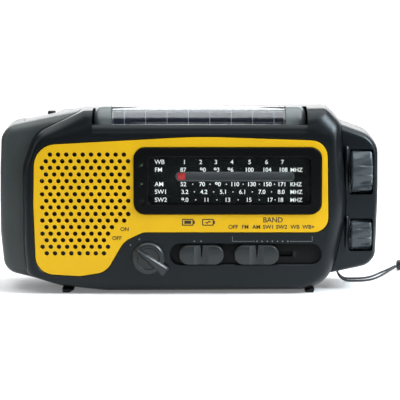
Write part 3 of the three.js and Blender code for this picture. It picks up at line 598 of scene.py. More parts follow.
# ------------------------------ strap, on the floor
STRAP_BEAD = (124.6, 52.5, 3.1)
STRAP_REAR = [
    (84.6, 12.5, 6.1), (86.4, 16, 3.4), (89.6, 19.6, 1.1), (94, 21.4, 0.65), (99.4, 22, 0.65),
    (105, 27, 0.65), (111, 38.6, 0.65), (116.4, 46.4, 1.3), (121.5, 52.6, 2.4),
]
STRAP_FRONT = [
    (84.6, 9.5, 6.1), (86.2, 10.6, 3.4), (89.4, 12.6, 1.1), (94, 13.4, 0.65), (99.4, 14, 0.65),
    (105, 18.4, 0.65), (111, 29.6, 0.65), (116.6, 41.4, 1.3), (121.9, 50.4, 2.4),
]
STRAP_LOOP = [
    (127.9, 50.6, 2.6), (130.2, 46, 2), (131.6, 40, 1.6), (131.8, 30, 1.6), (131.6, 8, 1.6),
    (131.6, -6, 1.6), (131.6, -12.6, 1.6), (132.8, -17, 1.6), (136, -20.2, 1.6),
    (140.4, -21.4, 1.6), (144.8, -20.2, 1.6), (148, -17, 1.6), (149.2, -12.6, 1.6),
    (149.2, 8, 1.6), (149.2, 34, 1.6), (149.2, 58, 1.6), (149.2, 66.2, 1.6), (148, 70.6, 1.6),
    (144.8, 73.8, 1.6), (140.4, 75, 1.6), (136, 73.8, 1.6), (132.8, 70.6, 1.6), (131, 65.6, 1.7),
    (129.4, 60, 2.1), (127.8, 54.6, 2.6),
]


def smooth_route(points, steps=6):
    """Points along a smooth line (a centripetal spline) through the given ones."""
    route = [Vector(p) for p in points]
    ends = [route[0] * 2 - route[1]] + route + [route[-1] * 2 - route[-2]]
    result = []
    for k in range(1, len(ends) - 2):
        before, a, b, after = ends[k - 1:k + 3]
        d0, d1, d2 = ((q - p).length ** 0.5 for p, q in ((before, a), (a, b), (b, after)))
        leave = ((a - before) / d0 - (b - before) / (d0 + d1) + (b - a) / d1) * d1
        arrive = ((b - a) / d1 - (after - a) / (d1 + d2) + (after - b) / d2) * d1
        for i in range(steps):
            t = i / steps
            result.append(
                a + leave * t + (3 * (b - a) - 2 * leave - arrive) * t ** 2
                + (2 * (a - b) + leave + arrive) * t ** 3
            )
    return result + [route[-1]]


def strap(name, points, radius, node, **facts):
    curve = bpy.data.curves.new(name, "CURVE")
    curve.dimensions = "3D"
    curve.bevel_depth = radius * MM
    curve.bevel_resolution = 4
    curve.use_fill_caps = True
    route = smooth_route(points)
    spline = curve.splines.new("POLY")
    spline.points.add(len(route) - 1)
    for point, p in zip(spline.points, route):
        point.co = (*(p * MM), 1)
    piece = new_object(name, curve, None)
    curve.materials.append(CORD_BLACK)
    finished(piece, replaces=(node,))
    return piece


bead = turned(
    [(122.1, 1.6), (122.3, 2.4), (123, 2.9), (124.6, 3.0), (126.2, 2.9), (126.9, 2.4),
     (127.1, 1.6)],
    "X", STRAP_BEAD[1:], 28, "bead",
)
bead.data.materials.append(BEAD_BLACK)
finished(bead, replaces=("strap_bead",))
strap("cord_rear", STRAP_REAR, 0.6, "strap_cord_rear", far_end="fitting", with_pieces=[bead])
strap("cord_front", STRAP_FRONT, 0.6, "strap_cord_front", far_end="fitting", with_pieces=[bead])
strap("wrist_loop", STRAP_LOOP, 1.5, "strap_loop", far_end="object")


# ------------------------------ shells
def rod(axis, centre, radius, start, end, sides=40):
    return turned([(start, radius), (end, radius)], axis, centre, sides)


def counterbore_tools(y0, y1, radius):
    return [rod("Y", screw, radius, y0, y1, 24) for screw in SCREWS]


def front_depth(x):
    """How far back the front edge is rounded: more on the right."""
    share = min(1, max(0, (x + 80) / 165))
    return FACE_Y + 7.5 + 6.5 * share * share


front = slab(FRONT, FRONT_FLAT, None, FACE_Y, front_depth, -2.15, -2.15, steps=10)
front_room = slab(inset(FRONT, WALL), inset(FRONT, WALL + 6), None, -22, -14, 5, 5)
lip_points = [(FACE_Y - 6, 86.6), (FACE_Y, 87.0)]
lip_points += [
    (-17 - 8 * math.cos(t), 87.4 + 8 * math.sin(t)) for t in (math.pi / 2 * k / 8 for k in range(9))
]
lip_points += [(-4, LIP_Z), (-4, 110), (FACE_Y - 6, 110)]


def bar_of(points, x0, x1):
    """An outline in (y, z) from x0 to x1."""
    return loft([[(x, y, z) for y, z in points] for x in (x0, x1)])


SPINDLE_ROUND = 4.5


def spindle_tool(extra):
    """The solar barrel's body, larger all round by extra."""
    profile = rod_profile(
        SOLAR["x0"] - extra, SOLAR["x1"] + extra, SOLAR["r"] + extra, SPINDLE_ROUND, SPINDLE_ROUND,
    )
    return turned(profile, "X", (SOLAR["y"], SOLAR["z"]), 64)


panel_edge = outline(inset(PANEL, -0.25))
track_edge = outline(rectangle(*TRACK, 5.6))
bezel_edge = outline(rectangle(*BEZEL, 6))
carve(
    front, front_room,
    spindle_tool(0.5), bar_of(lip_points, SOLAR["x0"] - GAP, SOLAR["x1"] + GAP),
    prism(panel_edge, FACE_Y, FACE_Y + 1.7, 0.35),
    prism(track_edge, FACE_Y, FACE_Y + 1.9, 0.45),
    prism(bezel_edge, FACE_Y - 2, -20),
    rod("Y", SPEAKER, SPEAKER_R, -30, -20),
    rod("Y", KNOB, 3.4, -30, -20),
    block(1, 9.7, -30, -20, 20.5, 24.1), block(*SLIDER_SLOT, -30, -20, 20.5, 24.1),
)
painted(front, BLACK_SHELL, "front_shell")
finished(front, replaces=("front_housing",))


def antenna_way():
    """The rest's open left end, which the antenna slides out over."""
    return block(LEFT_OUT, -85, REST_Y, BACK_OUT, 92.9, HIGH_OUT)


# The rear housing: a bowl for the crank, a bay for the cells and a rest for the antenna.
BACK_FLAT = inset(BODY, 6.5)
rear = slab(BODY, None, BACK_FLAT, -1.85, -1.85, 22.5, REAR_Y)
rear_room = slab(
    inset(BODY, WALL), None, inset(BODY, WALL + 5), -30, -30, REAR_Y - WALL - 4, REAR_Y - WALL
)
carve(
    rear_room,
    block(BAY[0] - 3.6, BAY[1] + 3.6, 8.2, BACK_OUT, BAY[2] - 4, BAY[3] + 3.4),
    rod("Y", HUB, DISH_R + 2, DISH_FLOOR - 2, BACK_OUT, 72),
    block(-88, 79.4, 11.5, BACK_OUT, 88.4, 120),
    rod("Y", HUB, 6, 10.2, 20), rod("Y", (20.247, 38.75), 3.4, 8.6, 20),
    *counterbore_tools(-1.85, BACK_OUT, 4.4),
)
bowl = turned(
    [(DISH_FLOOR, DISH_R - 3), (DISH_FLOOR + 0.9, DISH_R - 0.9), (DISH_FLOOR + 3, DISH_R),
     (27.8, DISH_R), (REAR_Y, DISH_R + 1.2), (40, DISH_R + 1.2)], "Y", HUB, 96,
)
carve(
    rear, rear_room, bowl,
    block(SEAM_X - 30, SEAM_X, FRONT_OUT, BACK_OUT, LOW_OUT, HIGH_OUT),
    spindle_tool(0.5),
    block(BAY[0], BAY[1], 10, BACK_OUT, BAY[2], BAY[3]),
    prism([(x, z) for x, z, _ in grown(DOOR, GAP, 0)], 26.9, BACK_OUT),
    block(-86, 77.4, REST_Y, BACK_OUT, 90.6, HIGH_OUT), antenna_way(),
    rod("Y", HUB, 3.3, -10, BACK_OUT), rod("Y", (ANTENNA["x"], ANTENNA["z"]), 2.3, 11, 20),
    *counterbore_tools(4, BACK_OUT, 3.3), *counterbore_tools(-10, 6, 1.7),
)
painted(rear, BLACK_SHELL, "rear_shell")
finished(rear, replaces=("rear_housing",))

# The cap on the left end, whose rim shows all round the left of the fascia. Its light grey is
# painted light: the cap's side that faces the light, drawn as a lighter plastic.
front_gap = outline(inset(FRONT, -GAP))
cap = slab(BODY, inset(BODY, 5.5), inset(BODY, 5.5), CAP_Y, CAP_Y + 6.5, 21.5, REAR_Y - 2)
cap_room = slab(
    inset(BODY, WALL), inset(BODY, WALL + 4), inset(BODY, WALL + 4),
    CAP_Y + WALL, CAP_Y + WALL + 4, 20.5, REAR_Y - 2 - WALL,
)
carve(cap_room, block(SEAM_X + 1, RIGHT_OUT, FRONT_OUT, BACK_OUT, LOW_OUT, HIGH_OUT))
lamp_hole = turned(
    [(-130, 15.4), (-104.8, 15.4), (-103.2, 13.9), (-95, 13.8)], "X", (LAMP["y"], LAMP["z"]), 72
)
carve(
    cap, block(-57.5, RIGHT_OUT, FRONT_OUT, BACK_OUT, LOW_OUT, HIGH_OUT),
    block(SEAM_X - GAP, RIGHT_OUT, -2.3, BACK_OUT, LOW_OUT, HIGH_OUT),
    cap_room, prism(front_gap, FRONT_OUT, PARTING_Y), lamp_hole,
    block(LEFT_OUT, -95, -3.9, 3.9, 32.1, 39.9), antenna_way(),
)
painted(cap, CAP_LIGHT_AND_CRANK_GREY, "left_cap")
finished(cap, replaces=("left_end_cap",))

# The cover over the controls on the right, with two windows for the thumbwheels.
pod = slab(POD, POD_FLAT, inset(POD, 4), POD_FACE_Y, POD_FACE_Y + 7, 22.5, REAR_Y - 2)
pod_room = slab(
    inset(POD, WALL), inset(POD, WALL + 3.5), inset(POD, WALL + 3),
    POD_FACE_Y + WALL, POD_FACE_Y + WALL + 4, 21, REAR_Y - 2 - WALL,
)
lug = slab(
    rectangle(83.2, 85.8, 6.9, 12, 1.1), *[rectangle(83.6, 85.4, 7.3, 11.6, 0.8)] * 2,
    8, 8.6, 13.4, 14, steps=4,
)
carve(pod, pod_room)
carve(pod, lug, operation="UNION")


def fin(x, half_width, low, high, depth, steps=8):
    """A round-backed rib beside a thumbwheel: full depth at the top, running out downwards."""
    rings = []
    for share, rise in ((0, 0.05), (0.3, 0.45), (0.6, 0.85), (0.8, 1), (0.93, 0.97), (0.98, 0.75),
                        (1, 0.3)):
        z = low + (high - low) * share
        rings.append([
            (x + half_width * math.cos(math.pi * k / steps),
             POD_FACE_Y + 0.8 - (depth + 0.8) * rise * math.sin(math.pi * k / steps), z)
            for k in range(steps + 1)
        ] + [(x - half_width, POD_FACE_Y + 1.4, z), (x + half_width, POD_FACE_Y + 1.4, z)])
    return loft(rings)


carve(pod, fin(87.5, 1.6, 54, 81.5, 4), operation="UNION")
carve(pod, fin(87.9, 1.3, 20, 42.4, 3.2), operation="UNION")
carve(
    pod, prism(front_gap, FRONT_OUT, BACK_OUT),
    *[prism(outline(rectangle(*gate, 1.2)), FRONT_OUT, -2) for gate in WHEEL_WINDOWS],
    block(82, 88, 9.4, 12.6, 7.9, 9.6),
)
painted(pod, POD_SHELL, "control_cover")
finished(pod, replaces=("control_pod_cover",))

# ------------------------------ front panel and speaker holes
GRILLE_X, GRILLE_Z, HOLE_R = -78.1, 77.6, 1.28
PITCH_X, PITCH_Z = 4.5, 3.65
HOLES_IN_ROW = (10, 11, 11, 11, 11, 11, 11, 11, 11, 11, 11, 9, 9, 8, 9, 8)
holes = []
for row, count in enumerate(HOLES_IN_ROW):
    first = GRILLE_X - (0 if row % 2 else PITCH_X / 2) + (0 if row else PITCH_X)
    for k in range(count):
        holes.append(circle(first + k * PITCH_X, GRILLE_Z - row * PITCH_Z, HOLE_R, 16))
bezel_gap = outline(grown(BEZEL, GAP, 6.2))
panel = plate(
    "panel", [outline(PANEL), bezel_gap] + holes, FACE_Y, FACE_Y + 1.4, 0.22, YELLOW
)
finished(panel, replaces=("front_panel",))

speaker_cloth = plate(
    "speaker_cloth", [circle(*SPEAKER, SPEAKER_R - 0.2, 64)], -23.3, -23.1, 0.05, DARK_HOLE,
)
finished(speaker_cloth)

# ------------------------------ dial
led_holes = [circle(LEDS_X, z, 1.5, 24) for z in LEDS_Z]
bezel = plate(
    "bezel", [outline(rectangle(*BEZEL, 6)), outline(rectangle(*WINDOW, 3))] + led_holes,
    FACE_Y - 0.9, -22.3, 0.5, BEZEL_BLACK, 4,
)
finished(bezel, replaces=("dial_bezel",))
blind_led = plate("blind_hole", [circle(LEDS_X, LEDS_Z[2], 1.6, 24)], -24.6, -23.6, 0.1, DARK_HOLE)
finished(blind_led)
for k, z in enumerate(LEDS_Z[:2]):
    led = turned(
        [(-25.75, 0.35), (-25.6, 0.8), (-25.2, 1.15), (-24.6, 1.25), (-18, 1.25)], "Y",
        (LEDS_X, z), 24, f"led_{k + 1}",
    )
    led.data.materials.append(LED_GREEN)
    finished(led, replaces=(f"indicator_led_{k + 1}",))

window = plate(
    "dial_glass", [outline(grown(WINDOW, -GAP, 2.7))],
    FACE_Y + 0.2, FACE_Y + 1.2, 0.15, CLEAR,
)
finished(window, replaces=("dial_window",))

SCALE_Y = -21.6
slot_edge = outline(rectangle(*SLOT, 2.0))
scale = plate(
    "scale_plate", [outline(rectangle(-23.9, 68.9, 48.1, 78.4, 1)), slot_edge],
    SCALE_Y, SCALE_Y + 0.8, 0.05, DIAL_FACE,
)
finished(scale, replaces=("dial_scale",))
# The slot's rim and back glow: painted light in the slot's shade.
slot_wide = outline(grown(SLOT, 0.5, 2.4))
slot_rim = plate("slot_rim", [slot_wide, slot_edge], SCALE_Y - 0.12, SCALE_Y, 0.03, SLOT_GREY_PAINTED_GLOW)
slot_back = plate("slot_back", [slot_wide], -17.3, -17.0, 0.05, SLOT_GREY_PAINTED_GLOW)
finished(slot_rim)
finished(slot_back)

pointer = slab(
    rectangle(-5.9, -2.0, 63.4, 66.9, 0.5), rectangle(-5.6, -2.3, 63.7, 66.6, 0.4), None,
    -22.2, -21.9, -19, -19, steps=3,
)
carriage = block(-5.9, -1.7, -20.4, -17.4, 60, 70)
pointer = joined("pointer", [pointer, carriage])
# The pointer's glow is painted light.
pointer.data.materials.append(POINTER_RED_PAINTED_GLOW)
finished(pointer, "pointer", ("dial_pointer",))

DIAL_ROWS = (
    (73.35, "WB", (("1", -2.2), ("2", 6.7), ("3", 15.1), ("4", 23.9), ("5", 33.6), ("6", 42.9),
                   ("7", 51.6)), ""),
    (69.0, "FM", (("87", -2.9), ("90", 7.9), ("93", 15.5), ("96", 23.1), ("100", 33.4),
                  ("104", 43.1), ("108", 52)), "MHZ"),
    (60.9, "AM", (("52", -2.8), ("70", 7.5), ("90", 16.2), ("110", 25.5), ("130", 34.7),
                  ("150", 43.3), ("171", 51.4)), "KHZ"),
    (56.6, "SW1", (("3.2", -2), ("4.2", 8.5), ("5.1", 19.2), ("6.1", 29.8), ("7.0", 40.4),
                   ("8.0", 51)), "MHZ"),
    (52.1, "SW2", (("9.0", -2), ("11", 9.9), ("13", 21.5), ("15", 33.2), ("17", 44.8),
                   ("18", 50.6)), "MHZ"),
)
ROW_PITCH, ROW_DROP = 0.987, 0.34
prints = []
for z, label, figures, unit in DIAL_ROWS:
    z = ROW_PITCH * z - ROW_DROP
    prints.append(lettering(label, -18.6, z, 2.4, SCALE_Y, PRINT_WHITE_PAINTED_GLOW, "print", "LEFT", 0.02))
    for figure, x in figures:
        prints.append(lettering(figure, x, z, 2.3, SCALE_Y, PRINT_WHITE_PAINTED_GLOW, "print", weight=0.035))
    if label.startswith(("AM", "SW")):
        for (_, left), (_, right) in zip(figures, figures[1:]):
            middle = circle((left + right) / 2, z + 1.1, 0.3, 10)
            prints.append(prism(middle, SCALE_Y - 0.03, SCALE_Y))
    if unit:
        prints.append(lettering(unit, 55.9, z, 2.2, SCALE_Y, PRINT_WHITE_PAINTED_GLOW, "print", "LEFT", 0.04))
# The dial's figures glow: painted light on the white print.
dial_print = joined("dial_figures", prints, PRINT_WHITE_PAINTED_GLOW)
finished(dial_print)


CREASE_ANGLE = 30


def softened(piece, radius, segments=3):
    """The piece with its sharp edges rounded."""
    modifier = piece.modifiers.new("round", "BEVEL")
    modifier.width = radius * MM
    modifier.segments = segments
    modifier.limit_method = "ANGLE"
    modifier.angle_limit = math.radians(CREASE_ANGLE)
    return carve(piece)


# ------------------------------ print round the controls
FASCIA_Y = FACE_Y - 0.02
marks = [
    plate("dot", [circle(x, z, 0.38, 14)], FASCIA_Y, FASCIA_Y + 0.08, 0.01, PRINT_WHITE_PAINTED_GLOW)
    for x, z in [(-27.1, 30.7), (-32, 27.5), (3.2, 29.6), (6.9, 29.6)]
    + [(37.7 + 2.83 * k, 29.6) for k in range(7)]
]
bracket = joined("bracket", [
    block(x0, x1, FASCIA_Y, FASCIA_Y + 0.08, z0, z1)
    for x0, x1, z0, z1 in (
        (24.1, 36.6, 29.5, 29.7), (55.8, 68.2, 29.5, 29.7), (24.1, 24.3, 29.5, 32.4),
        (68.0, 68.2, 29.5, 32.4),
    )
], LINE_GREY)
finished(bracket)
control_marks = joined("control_marks", marks, LINE_GREY)
finished(control_marks)

words = [("OFF", -42, 30.4, 2.1, "LEFT"), ("ON", -37.5, 35.4, 2.1, "LEFT")]
words += [
    (word, x, 36.6, 2.15, "CENTER")
    for word, x in (("OFF", 24.6), ("FM", 31.2), ("AM", 37.4), ("SW1", 44), ("SW2", 51.2),
                    ("WB", 58.6), ("WB+", 66))
]
words.append(("BAND", 46.4, 40.2, 2.8, "CENTER"))
legends = [
    lettering(word, x, z, height, FACE_Y - 0.01, PRINT_BLACK, "legend", align, 0.06)
    for word, x, z, height, align in words
]
ICON_Y = FACE_Y - 0.01
for x in (-3.6, 7.5):
    legends.append(plate("icon", [
        outline(rectangle(x, x + 6.4, 38.3, 42.1, 0.6)),
        outline(rectangle(x + 0.6, x + 5.8, 38.9, 41.5, 0.3)),
    ], ICON_Y, ICON_Y + 0.06, 0.005, PRINT_BLACK))
    legends.append(block(x + 6.3, x + 7.1, ICON_Y, ICON_Y + 0.06, 39.3, 41.1))
legends.append(block(-2.3, 1.5, ICON_Y, ICON_Y + 0.06, 39.3, 41.1))
legends.append(prism(
    [(8.6, 40.1), (10.4, 39.3), (11, 40.1), (13, 40.2), (11.2, 41.1), (10.6, 40.3)],
    ICON_Y, ICON_Y + 0.06,
))
panel_print = joined("panel_print", legends, PRINT_BLACK)
finished(panel_print)

# ------------------------------ charge knob
KNOB_TILT = math.radians(142)
along = Vector((math.cos(KNOB_TILT), math.sin(KNOB_TILT)))
across = Vector((-along.y, along.x))


def on_knob(points):
    """Points given along and across the lever, as (x, z)."""
    return [
        (KNOB[0] + along.x * a + across.x * b, KNOB[1] + along.y * a + across.y * b)
        for a, b in points
    ]


disc = turned(
    [(-27.8, 7.6), (-27.7, 8.0), (-26.9, 8.85), (-26.6, 9.0), (-25.3, 9.0)], "Y", KNOB, 72
)
hollow = turned([(-29, 6.3), (-27.7, 6.3), (-27.2, 5.8)], "Y", KNOB, 64)
carve(disc, hollow)
stalk = rod("Y", KNOB, 3, -26, -19)
lever_foot = on_knob([(8.4, 0.9), (8.6, 0), (8.4, -0.9), (2, -2.0), (-11.6, -3.2), (-12.6, -2.4),
                      (-12.6, 2.2), (-11.6, 3.0), (2, 1.9)])
lever_top = on_knob([(7.9, 0.35), (8.0, 0), (7.9, -0.35), (2, -0.6), (-10.4, -1.7), (-11.2, -1.3),
                     (-11.2, 0.9), (-10.4, 1.3), (2, 0.5)])
lever = loft([
    [(x, -25.9, z) for x, z in lever_foot], [(x, -27.2, z) for x, z in lever_foot],
    [(x, -29, z) for x, z in lever_top],
])
softened(lever, 0.3, 3)
slit = loft([[(x, y, z) for x, z in on_knob([(8.8, 0.28), (8.8, -0.28), (4.6, -0.28), (4.6, 0.28)])]
             for y in (-30, -28.4)])
carve(lever, slit)
knob = painted(joined("knob", [disc, stalk, lever]), CONTROL_GREY)
finished(knob, "charge_knob", ("charge_knob",), angle=28)


# ------------------------------ sliders
def slider(name, x, body):
    z = SLIDER_Z
    edge = rectangle(x - 12.3, x + 12.3, z - 5.3, z + 5.3, 5.2)
    flat = rectangle(x - 11.6, x + 11.6, z - 4.6, z + 4.6, 4.5)
    grip = slab(edge, flat, None, -28.3, -27.4, -23.4, -23.4, steps=5)
    valley = turned([(z - 9, 6), (z + 9, 6)], "Z", (x, -28.3 - 4.5), 72)
    notch = loft([
        [(x - 2.6, -30, z + 6), (x + 2.6, -30, z + 6), (x, -24.7, z + 6)],
        [(x - 0.9, -30, z - 1.6), (x + 0.9, -30, z - 1.6), (x, -26.3, z - 1.6)],
    ])
    carve(grip, valley)
    carve(grip, outward(notch))
    foot = block(x - 2.2, x + 2.2, -23.6, -20.5, z - 1.5, z + 1.5)
    piece = painted(joined(name, [grip, foot]), CONTROL_GREY)
    finished(piece, body, (body,), angle=26)


slider("power_switch", 7.1, "power_slider")
slider("band_switch", 37.5, "band_slider")
track_floor = plate(
    "track_floor", [outline(grown(TRACK, -0.2, 5.4))], -23.12, -23.0, 0.02, TRACK_BLACK,
)
carve(track_floor, block(-3.2, 13.6, -30, -20, 20.8, 23.8), block(33, 59.4, -30, -20, 20.8, 23.8))
finished(track_floor)


# ------------------------------ solar barrel
def sector(inner, outer, first, last, x0, x1, steps=28):
    """A curved plate about the barrel's axis; angles go from the front up and over."""
    angles = [math.radians(first + (last - first) * k / steps) for k in range(steps + 1)]
    ring = [(SOLAR["y"] - outer * math.cos(t), SOLAR["z"] + outer * math.sin(t)) for t in angles]
    ring += [
        (SOLAR["y"] - inner * math.cos(t), SOLAR["z"] + inner * math.sin(t))
        for t in reversed(angles)
    ]
    return bar_of(ring, x0, x1)


barrel = spindle_tool(0)
carve(
    barrel, sector(9.5, 14, 17, 113, GLAZED[0] - 0.3, GLAZED[1] + 0.3),
    sector(11.1, 14, 15.2, 114.8, GLAZED[0] - 1.2, GLAZED[1] + 1.2),
)
pins = turned([(-54.1, 2.5), (66.6, 2.5)], "X", (SOLAR["y"], SOLAR["z"]), 32)
carve(barrel, pins, operation="UNION")
painted(barrel, SOLAR_SHELL, "solar_barrel")
finished(barrel, "solar_pod", ("solar_pod_shell",))
cover = painted(
    softened(sector(11.3, 12.45, 16, 114, GLAZED[0] - 0.9, GLAZED[1] + 0.9), 0.4, 3),
    SOLAR_CLEAR, "solar_cover",
)
finished(cover, "solar_pod", ("solar_window",))
cells = painted(sector(9.6, 10.7, 18, 112, -41, 52), CELLS, "solar_strips")
finished(cells, "solar_pod", ("solar_cell_panel",))


# ------------------------------ thumbwheels
def thumbwheel(name, wheel, ridges, node):
    """A wheel about X whose rim has low ridges that fade out towards the left."""
    sides = ridges * 10
    rings = []
    for x, fall, depth in (
        (90, 0.9, 0), (90.5, 0.25, 0), (91, 0, 0), (93.6, 0, 0.05), (96, 0, 0.55),
        (99, 0, 0.8), (100.7, 0.05, 0.95), (101.3, 0.4, 0.95), (101.7, 1.1, 0.7), (101.8, 2.0, 0.3),
    ):
        ring = []
        for k in range(sides):
            turn = math.tau * k / sides
            step = (turn / math.tau * ridges + 0.35) % 1
            low = 1 - step if step > 0.12 else step / 0.12
            radius = wheel["r"] - fall - 1.7 * depth * low
            y, z = wheel["y"] + radius * math.cos(turn), wheel["z"] - radius * math.sin(turn)
            ring.append((x, y, z))
        rings.append(ring)
    rim = loft(rings)
    shaft = turned([(77, 2.6), (91, 2.6)], "X", (wheel["y"], wheel["z"]), 32)
    piece = painted(joined(name, [rim, shaft]), WHEEL_GREY)
    finished(piece, node, (node,), angle=22)


thumbwheel("tuning_thumbwheel", TUNING, 16, "tuning_wheel")
thumbwheel("volume_thumbwheel", VOLUME, 12, "volume_wheel")

# ------------------------------ antenna
AXIS = (ANTENNA["y"], ANTENNA["z"])
swivel = turned(
    [(13.8, 4.2), (14.1, 4.6), (14.5, 4.8), (23.6, 4.8), (24.1, 4.6), (24.4, 4.1)], "Y",
    (ANTENNA["x"], ANTENNA["z"]), 48,
)
carve(swivel, block(60, 75, 15.4, 30, 94.1, 97.5))
carve(swivel, rod("Y", (ANTENNA["x"], ANTENNA["z"]), 2, 11.8, 15, 24), operation="UNION")
finished(painted(swivel, BLACK_SHELL, "antenna_swivel"), "antenna_swivel_base", ("antenna_base",))
tube = turned(rod_profile(-71, 64.6, 2.9, 0.4, 0.5, 3), "X", AXIS, 40)
eye = turned([(94.4, 3.7), (94.7, 4), (96.9, 4), (97.2, 3.7)], "Z", (70.4, 20), 40)
neck = softened(block(63.6, 70, 17.7, 22.3, 94.4, 97.2), 0.3, 2)
tube = painted(joined("antenna_stage_1", [tube, eye, neck]), CHROME)
finished(tube, "antenna_1", ("antenna_tube_1",))
for name, radius, x0, x1, body, node in (
    ("antenna_stage_2", 2.1, -72.6, 56, "antenna_2", "antenna_tube_2"),
    ("antenna_stage_3", 1.4, -74.2, 51, "antenna_3", "antenna_tube_3"),
):
    stage = painted(turned(rod_profile(x0, x1, radius, 0.3, 0.3, 3), "X", AXIS, 32), CHROME, name)
    finished(stage, body, (node,))
rod_end = painted(turned([(-78, 0.75), (45, 0.75)], "X", AXIS, 20), CHROME, "antenna_stage_4")
finished(rod_end, "antenna_4", ("antenna_rod",))
tip = turned(rod_profile(-80, -75.6, 1.8, 0.7, 0.3, 4), "X", AXIS, 40)
finished(painted(tip, BLACK_SHELL, "antenna_tip"), "antenna_4")

# ------------------------------ crank
arm = plate("arm", [outline(rectangle(4.6, 43, 44.6, 53.4, 4.3), 10)], 16, 19.3, 0.9, CAP_LIGHT_AND_CRANK_GREY, 4)
ears = [softened(block(6, 11.2, 18.4, 25.6, z, z + 1.4), 0.35, 3) for z in (45.1, 51.5)]
hub = rod("Y", HUB, 2.9, 2, 17, 32)
hub_cap = turned([(19, 3.4), (19.6, 3.4), (19.9, 3.1)], "Y", HUB, 40)
arm = painted(joined("crank_lever", [arm, hub, hub_cap] + ears), CAP_LIGHT_AND_CRANK_GREY)
finished(arm, "crank", ("crank_arm",))
pin = painted(joined("crank_pivot", [
    turned(rod_profile(46.8, 51.2, 2.6, 0.3, 0.3, 3), "Z", (9, GRIP_Y), 32),
    turned([(9, 1.5), (31.4, 1.5)], "X", (GRIP_Y, 49), 24),
    turned(rod_profile(31.2, 32.4, 2.6, 0.4, 0.4, 3), "X", (GRIP_Y, 49), 32),
]), STEEL)
finished(pin, "crank_pin", ("crank_knob_pin",))
grip_profile = [(12.4, 2.6), (12.7, 3.2), (13.3, 3.5), (14, 3.6)]
for k in range(5):
    grip_profile += [(16 + 2.6 * k, 3.6), (16.4 + 2.6 * k, 3.3), (17 + 2.6 * k, 3.3),
                     (17.4 + 2.6 * k, 3.6)]
grip_profile += [(29.3, 3.6), (30.2, 3.4), (30.7, 3.0), (30.9, 2.5)]
grip = painted(turned(grip_profile, "X", (GRIP_Y, 49), 48), BLACK_SHELL, "crank_grip_knob")
finished(grip, "crank_grip", ("crank_knob",))

# ------------------------------ battery door, cells, screws
door = plate(
    "door", [outline(rectangle(*DOOR, 1.2))], 27.2, REAR_Y, 0.35, BLACK_SHELL, 3
)
carve(
    door,
    *[block(-80, -26, REAR_Y - 0.45, 40, 30 + 4 * k, 30.9 + 4 * k) for k in range(5)],
    prism(outline(rectangle(-60, -46, 66, 74, 2.5)), REAR_Y - 0.9, 40),
)
latch = softened(block(-57, -49, 27.6, REAR_Y - 0.1, 70.4, 72.6), 0.4, 2)
door = painted(joined("door", [door, latch]), BLACK_SHELL)
finished(door, "battery_door", ("battery_door",))
for k in range(3):
    node = f"battery_cell_{k + 1}"
    low, high = (corner * 1000 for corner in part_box(node))
    middle = ((low.y + high.y) / 2, (low.z + high.z) / 2)
    cell = painted(turned(
        [(low.x, 6.6), (low.x + 0.4, 7.1), (high.x - 1.9, 7.1), (high.x - 1.4, 6.6),
         (high.x - 1.35, 2.7), (high.x - 0.2, 2.7), (high.x, 2.4)], "X", middle, 40,
    ), BATTERY, f"cell_{k + 1}")
    finished(cell, replaces=(node,))
for k, (x, z) in enumerate(SCREWS):
    screw = turned(
        [(-14, 1.1), (5.9, 1.4), (6.3, 2.8), (7.6, 2.9), (8.2, 2.4), (8.4, 1.6)], "Y", (x, z), 32
    )
    carve(screw, block(x - 1.7, x + 1.7, 7.4, 12, z - 0.3, z + 0.3))
    carve(screw, block(x - 0.3, x + 0.3, 7.4, 12, z - 1.7, z + 1.7))
    painted(screw, STEEL, f"screw_{k + 1}")
    finished(screw, replaces=(f"housing_screw_{k + 1}",))

# ------------------------------ lamp and its button
CENTRE = (LAMP["y"], LAMP["z"])
glass = painted(turned(
    [(-104.6, 9), (-104.5, 11.5), (-104.1, 13.1), (-103.7, 13.5), (-102.8, 13.5)], "X", CENTRE, 64
), LAMP_CLEAR, "lamp_glass")
finished(glass, replaces=("lamp_lens",))
low, high = (corner * 1000 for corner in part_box("lamp_reflector"))
bowl_depth = high.x - low.x
mirror = painted(turned(
    [(high.x - 1.2, 0.2), (high.x - 1.2, 5), (low.x + 0.55 * bowl_depth, 9.2), (low.x, 12.6),
     (low.x, 13.1), (low.x + 0.6 * bowl_depth, 9.8), (high.x, 5.6), (high.x, 0.2)],
    "X", CENTRE, 64,
), REFLECTOR, "lamp_mirror")
finished(mirror, replaces=("lamp_reflector",))
lamp_parts = []
for k in range(3):
    turn = math.radians(90 + 120 * k)
    place = (CENTRE[0] + 3.2 * math.cos(turn), CENTRE[1] + 3.2 * math.sin(turn))
    lamp_parts.append(turned(
        [(high.x - 6, 0.4), (high.x - 5.6, 1.2), (high.x - 4.8, 1.7), (high.x - 1.4, 1.7)],
        "X", place, 24,
    ))
lamp_leds = painted(joined("lamp_leds", lamp_parts), LAMP_WHITE)
finished(lamp_leds)
button = softened(block(-105.4, -100.4, -3.6, 3.6, 32.4, 39.6), 0.9, 4)
finished(painted(button, RUBBER, "lamp_push"), "lamp_button", ("lamp_button",))


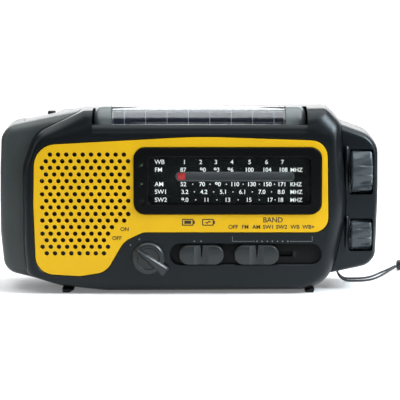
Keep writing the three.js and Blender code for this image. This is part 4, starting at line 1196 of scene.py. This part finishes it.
# ------------------------------ floor, backdrop and lights
FLOOR_RADIUS, FLOOR_MIDDLE = 380, (20, 50)
floor_ring = [
    (FLOOR_MIDDLE[0] + FLOOR_RADIUS * math.cos(math.tau * k / 64),
     FLOOR_MIDDLE[1] + FLOOR_RADIUS * math.sin(math.tau * k / 64), 0)
    for k in range(64)
]
floor = new_object("floor", mesh_of(floor_ring, [tuple(range(64))]), STAGE_WHITE)
BACKDROP = finish_of("backdrop", (1, 1, 1, 1), 1.0, glow=1.0, bump=0.0, mottle=0.0)
dome_shape = bmesh.new()
bmesh.ops.create_uvsphere(dome_shape, u_segments=48, v_segments=24, radius=4)
bmesh.ops.reverse_faces(dome_shape, faces=dome_shape.faces)
dome_mesh = bpy.data.meshes.new("backdrop")
dome_shape.to_mesh(dome_mesh)
backdrop = new_object("backdrop", dome_mesh, BACKDROP)
backdrop.visible_diffuse = False
backdrop.visible_glossy = False
backdrop.visible_transmission = False
backdrop.visible_shadow = False


def softbox(name, place, aim_at, size, power, colour=(1, 1, 1)):
    light = bpy.data.lights.new(name, "AREA")
    light.shape = "RECTANGLE"
    light.size, light.size_y = size
    light.energy = power
    light.color = colour
    lamp = bpy.data.objects.new(name, light)
    bpy.context.scene.collection.objects.link(lamp)
    lamp.location = place
    lamp.visible_camera = False
    lamp.rotation_euler = (Vector(aim_at) - Vector(place)).to_track_quat("-Z", "Y").to_euler()
    return lamp


softbox("overhead", (0, 0.1, 0.8), (0, 0.1, 0), (1.3, 0.9), 10.6)
softbox("front_fill", (0.1, -1.7, 1.1), (0, 0, 0.05), (1.2, 0.5), 2.4)
softbox("left_side", (-1.1, -0.25, 0.45), (-0.05, 0, 0.05), (0.5, 0.8), 2.1)
softbox("right_side", (1.1, -0.3, 0.45), (0.05, 0, 0.05), (0.35, 0.8), 4.6)
softbox("corner", (0.85, -0.2, 0.8), (0.07, 0, 0.08), (0.5, 0.5), 17, (0.86, 0.95, 1))
softbox("back", (0, 1.0, 0.42), (0, 0, 0.1), (1.6, 0.6), 9)
world = bpy.data.worlds.new("world")
bpy.context.scene.world = world
world.use_nodes = True
world.node_tree.nodes["Background"].inputs["Color"].default_value = (1, 1, 1, 1)
world.node_tree.nodes["Background"].inputs["Strength"].default_value = 0.1
bpy.context.scene.view_settings.view_transform = "Standard"
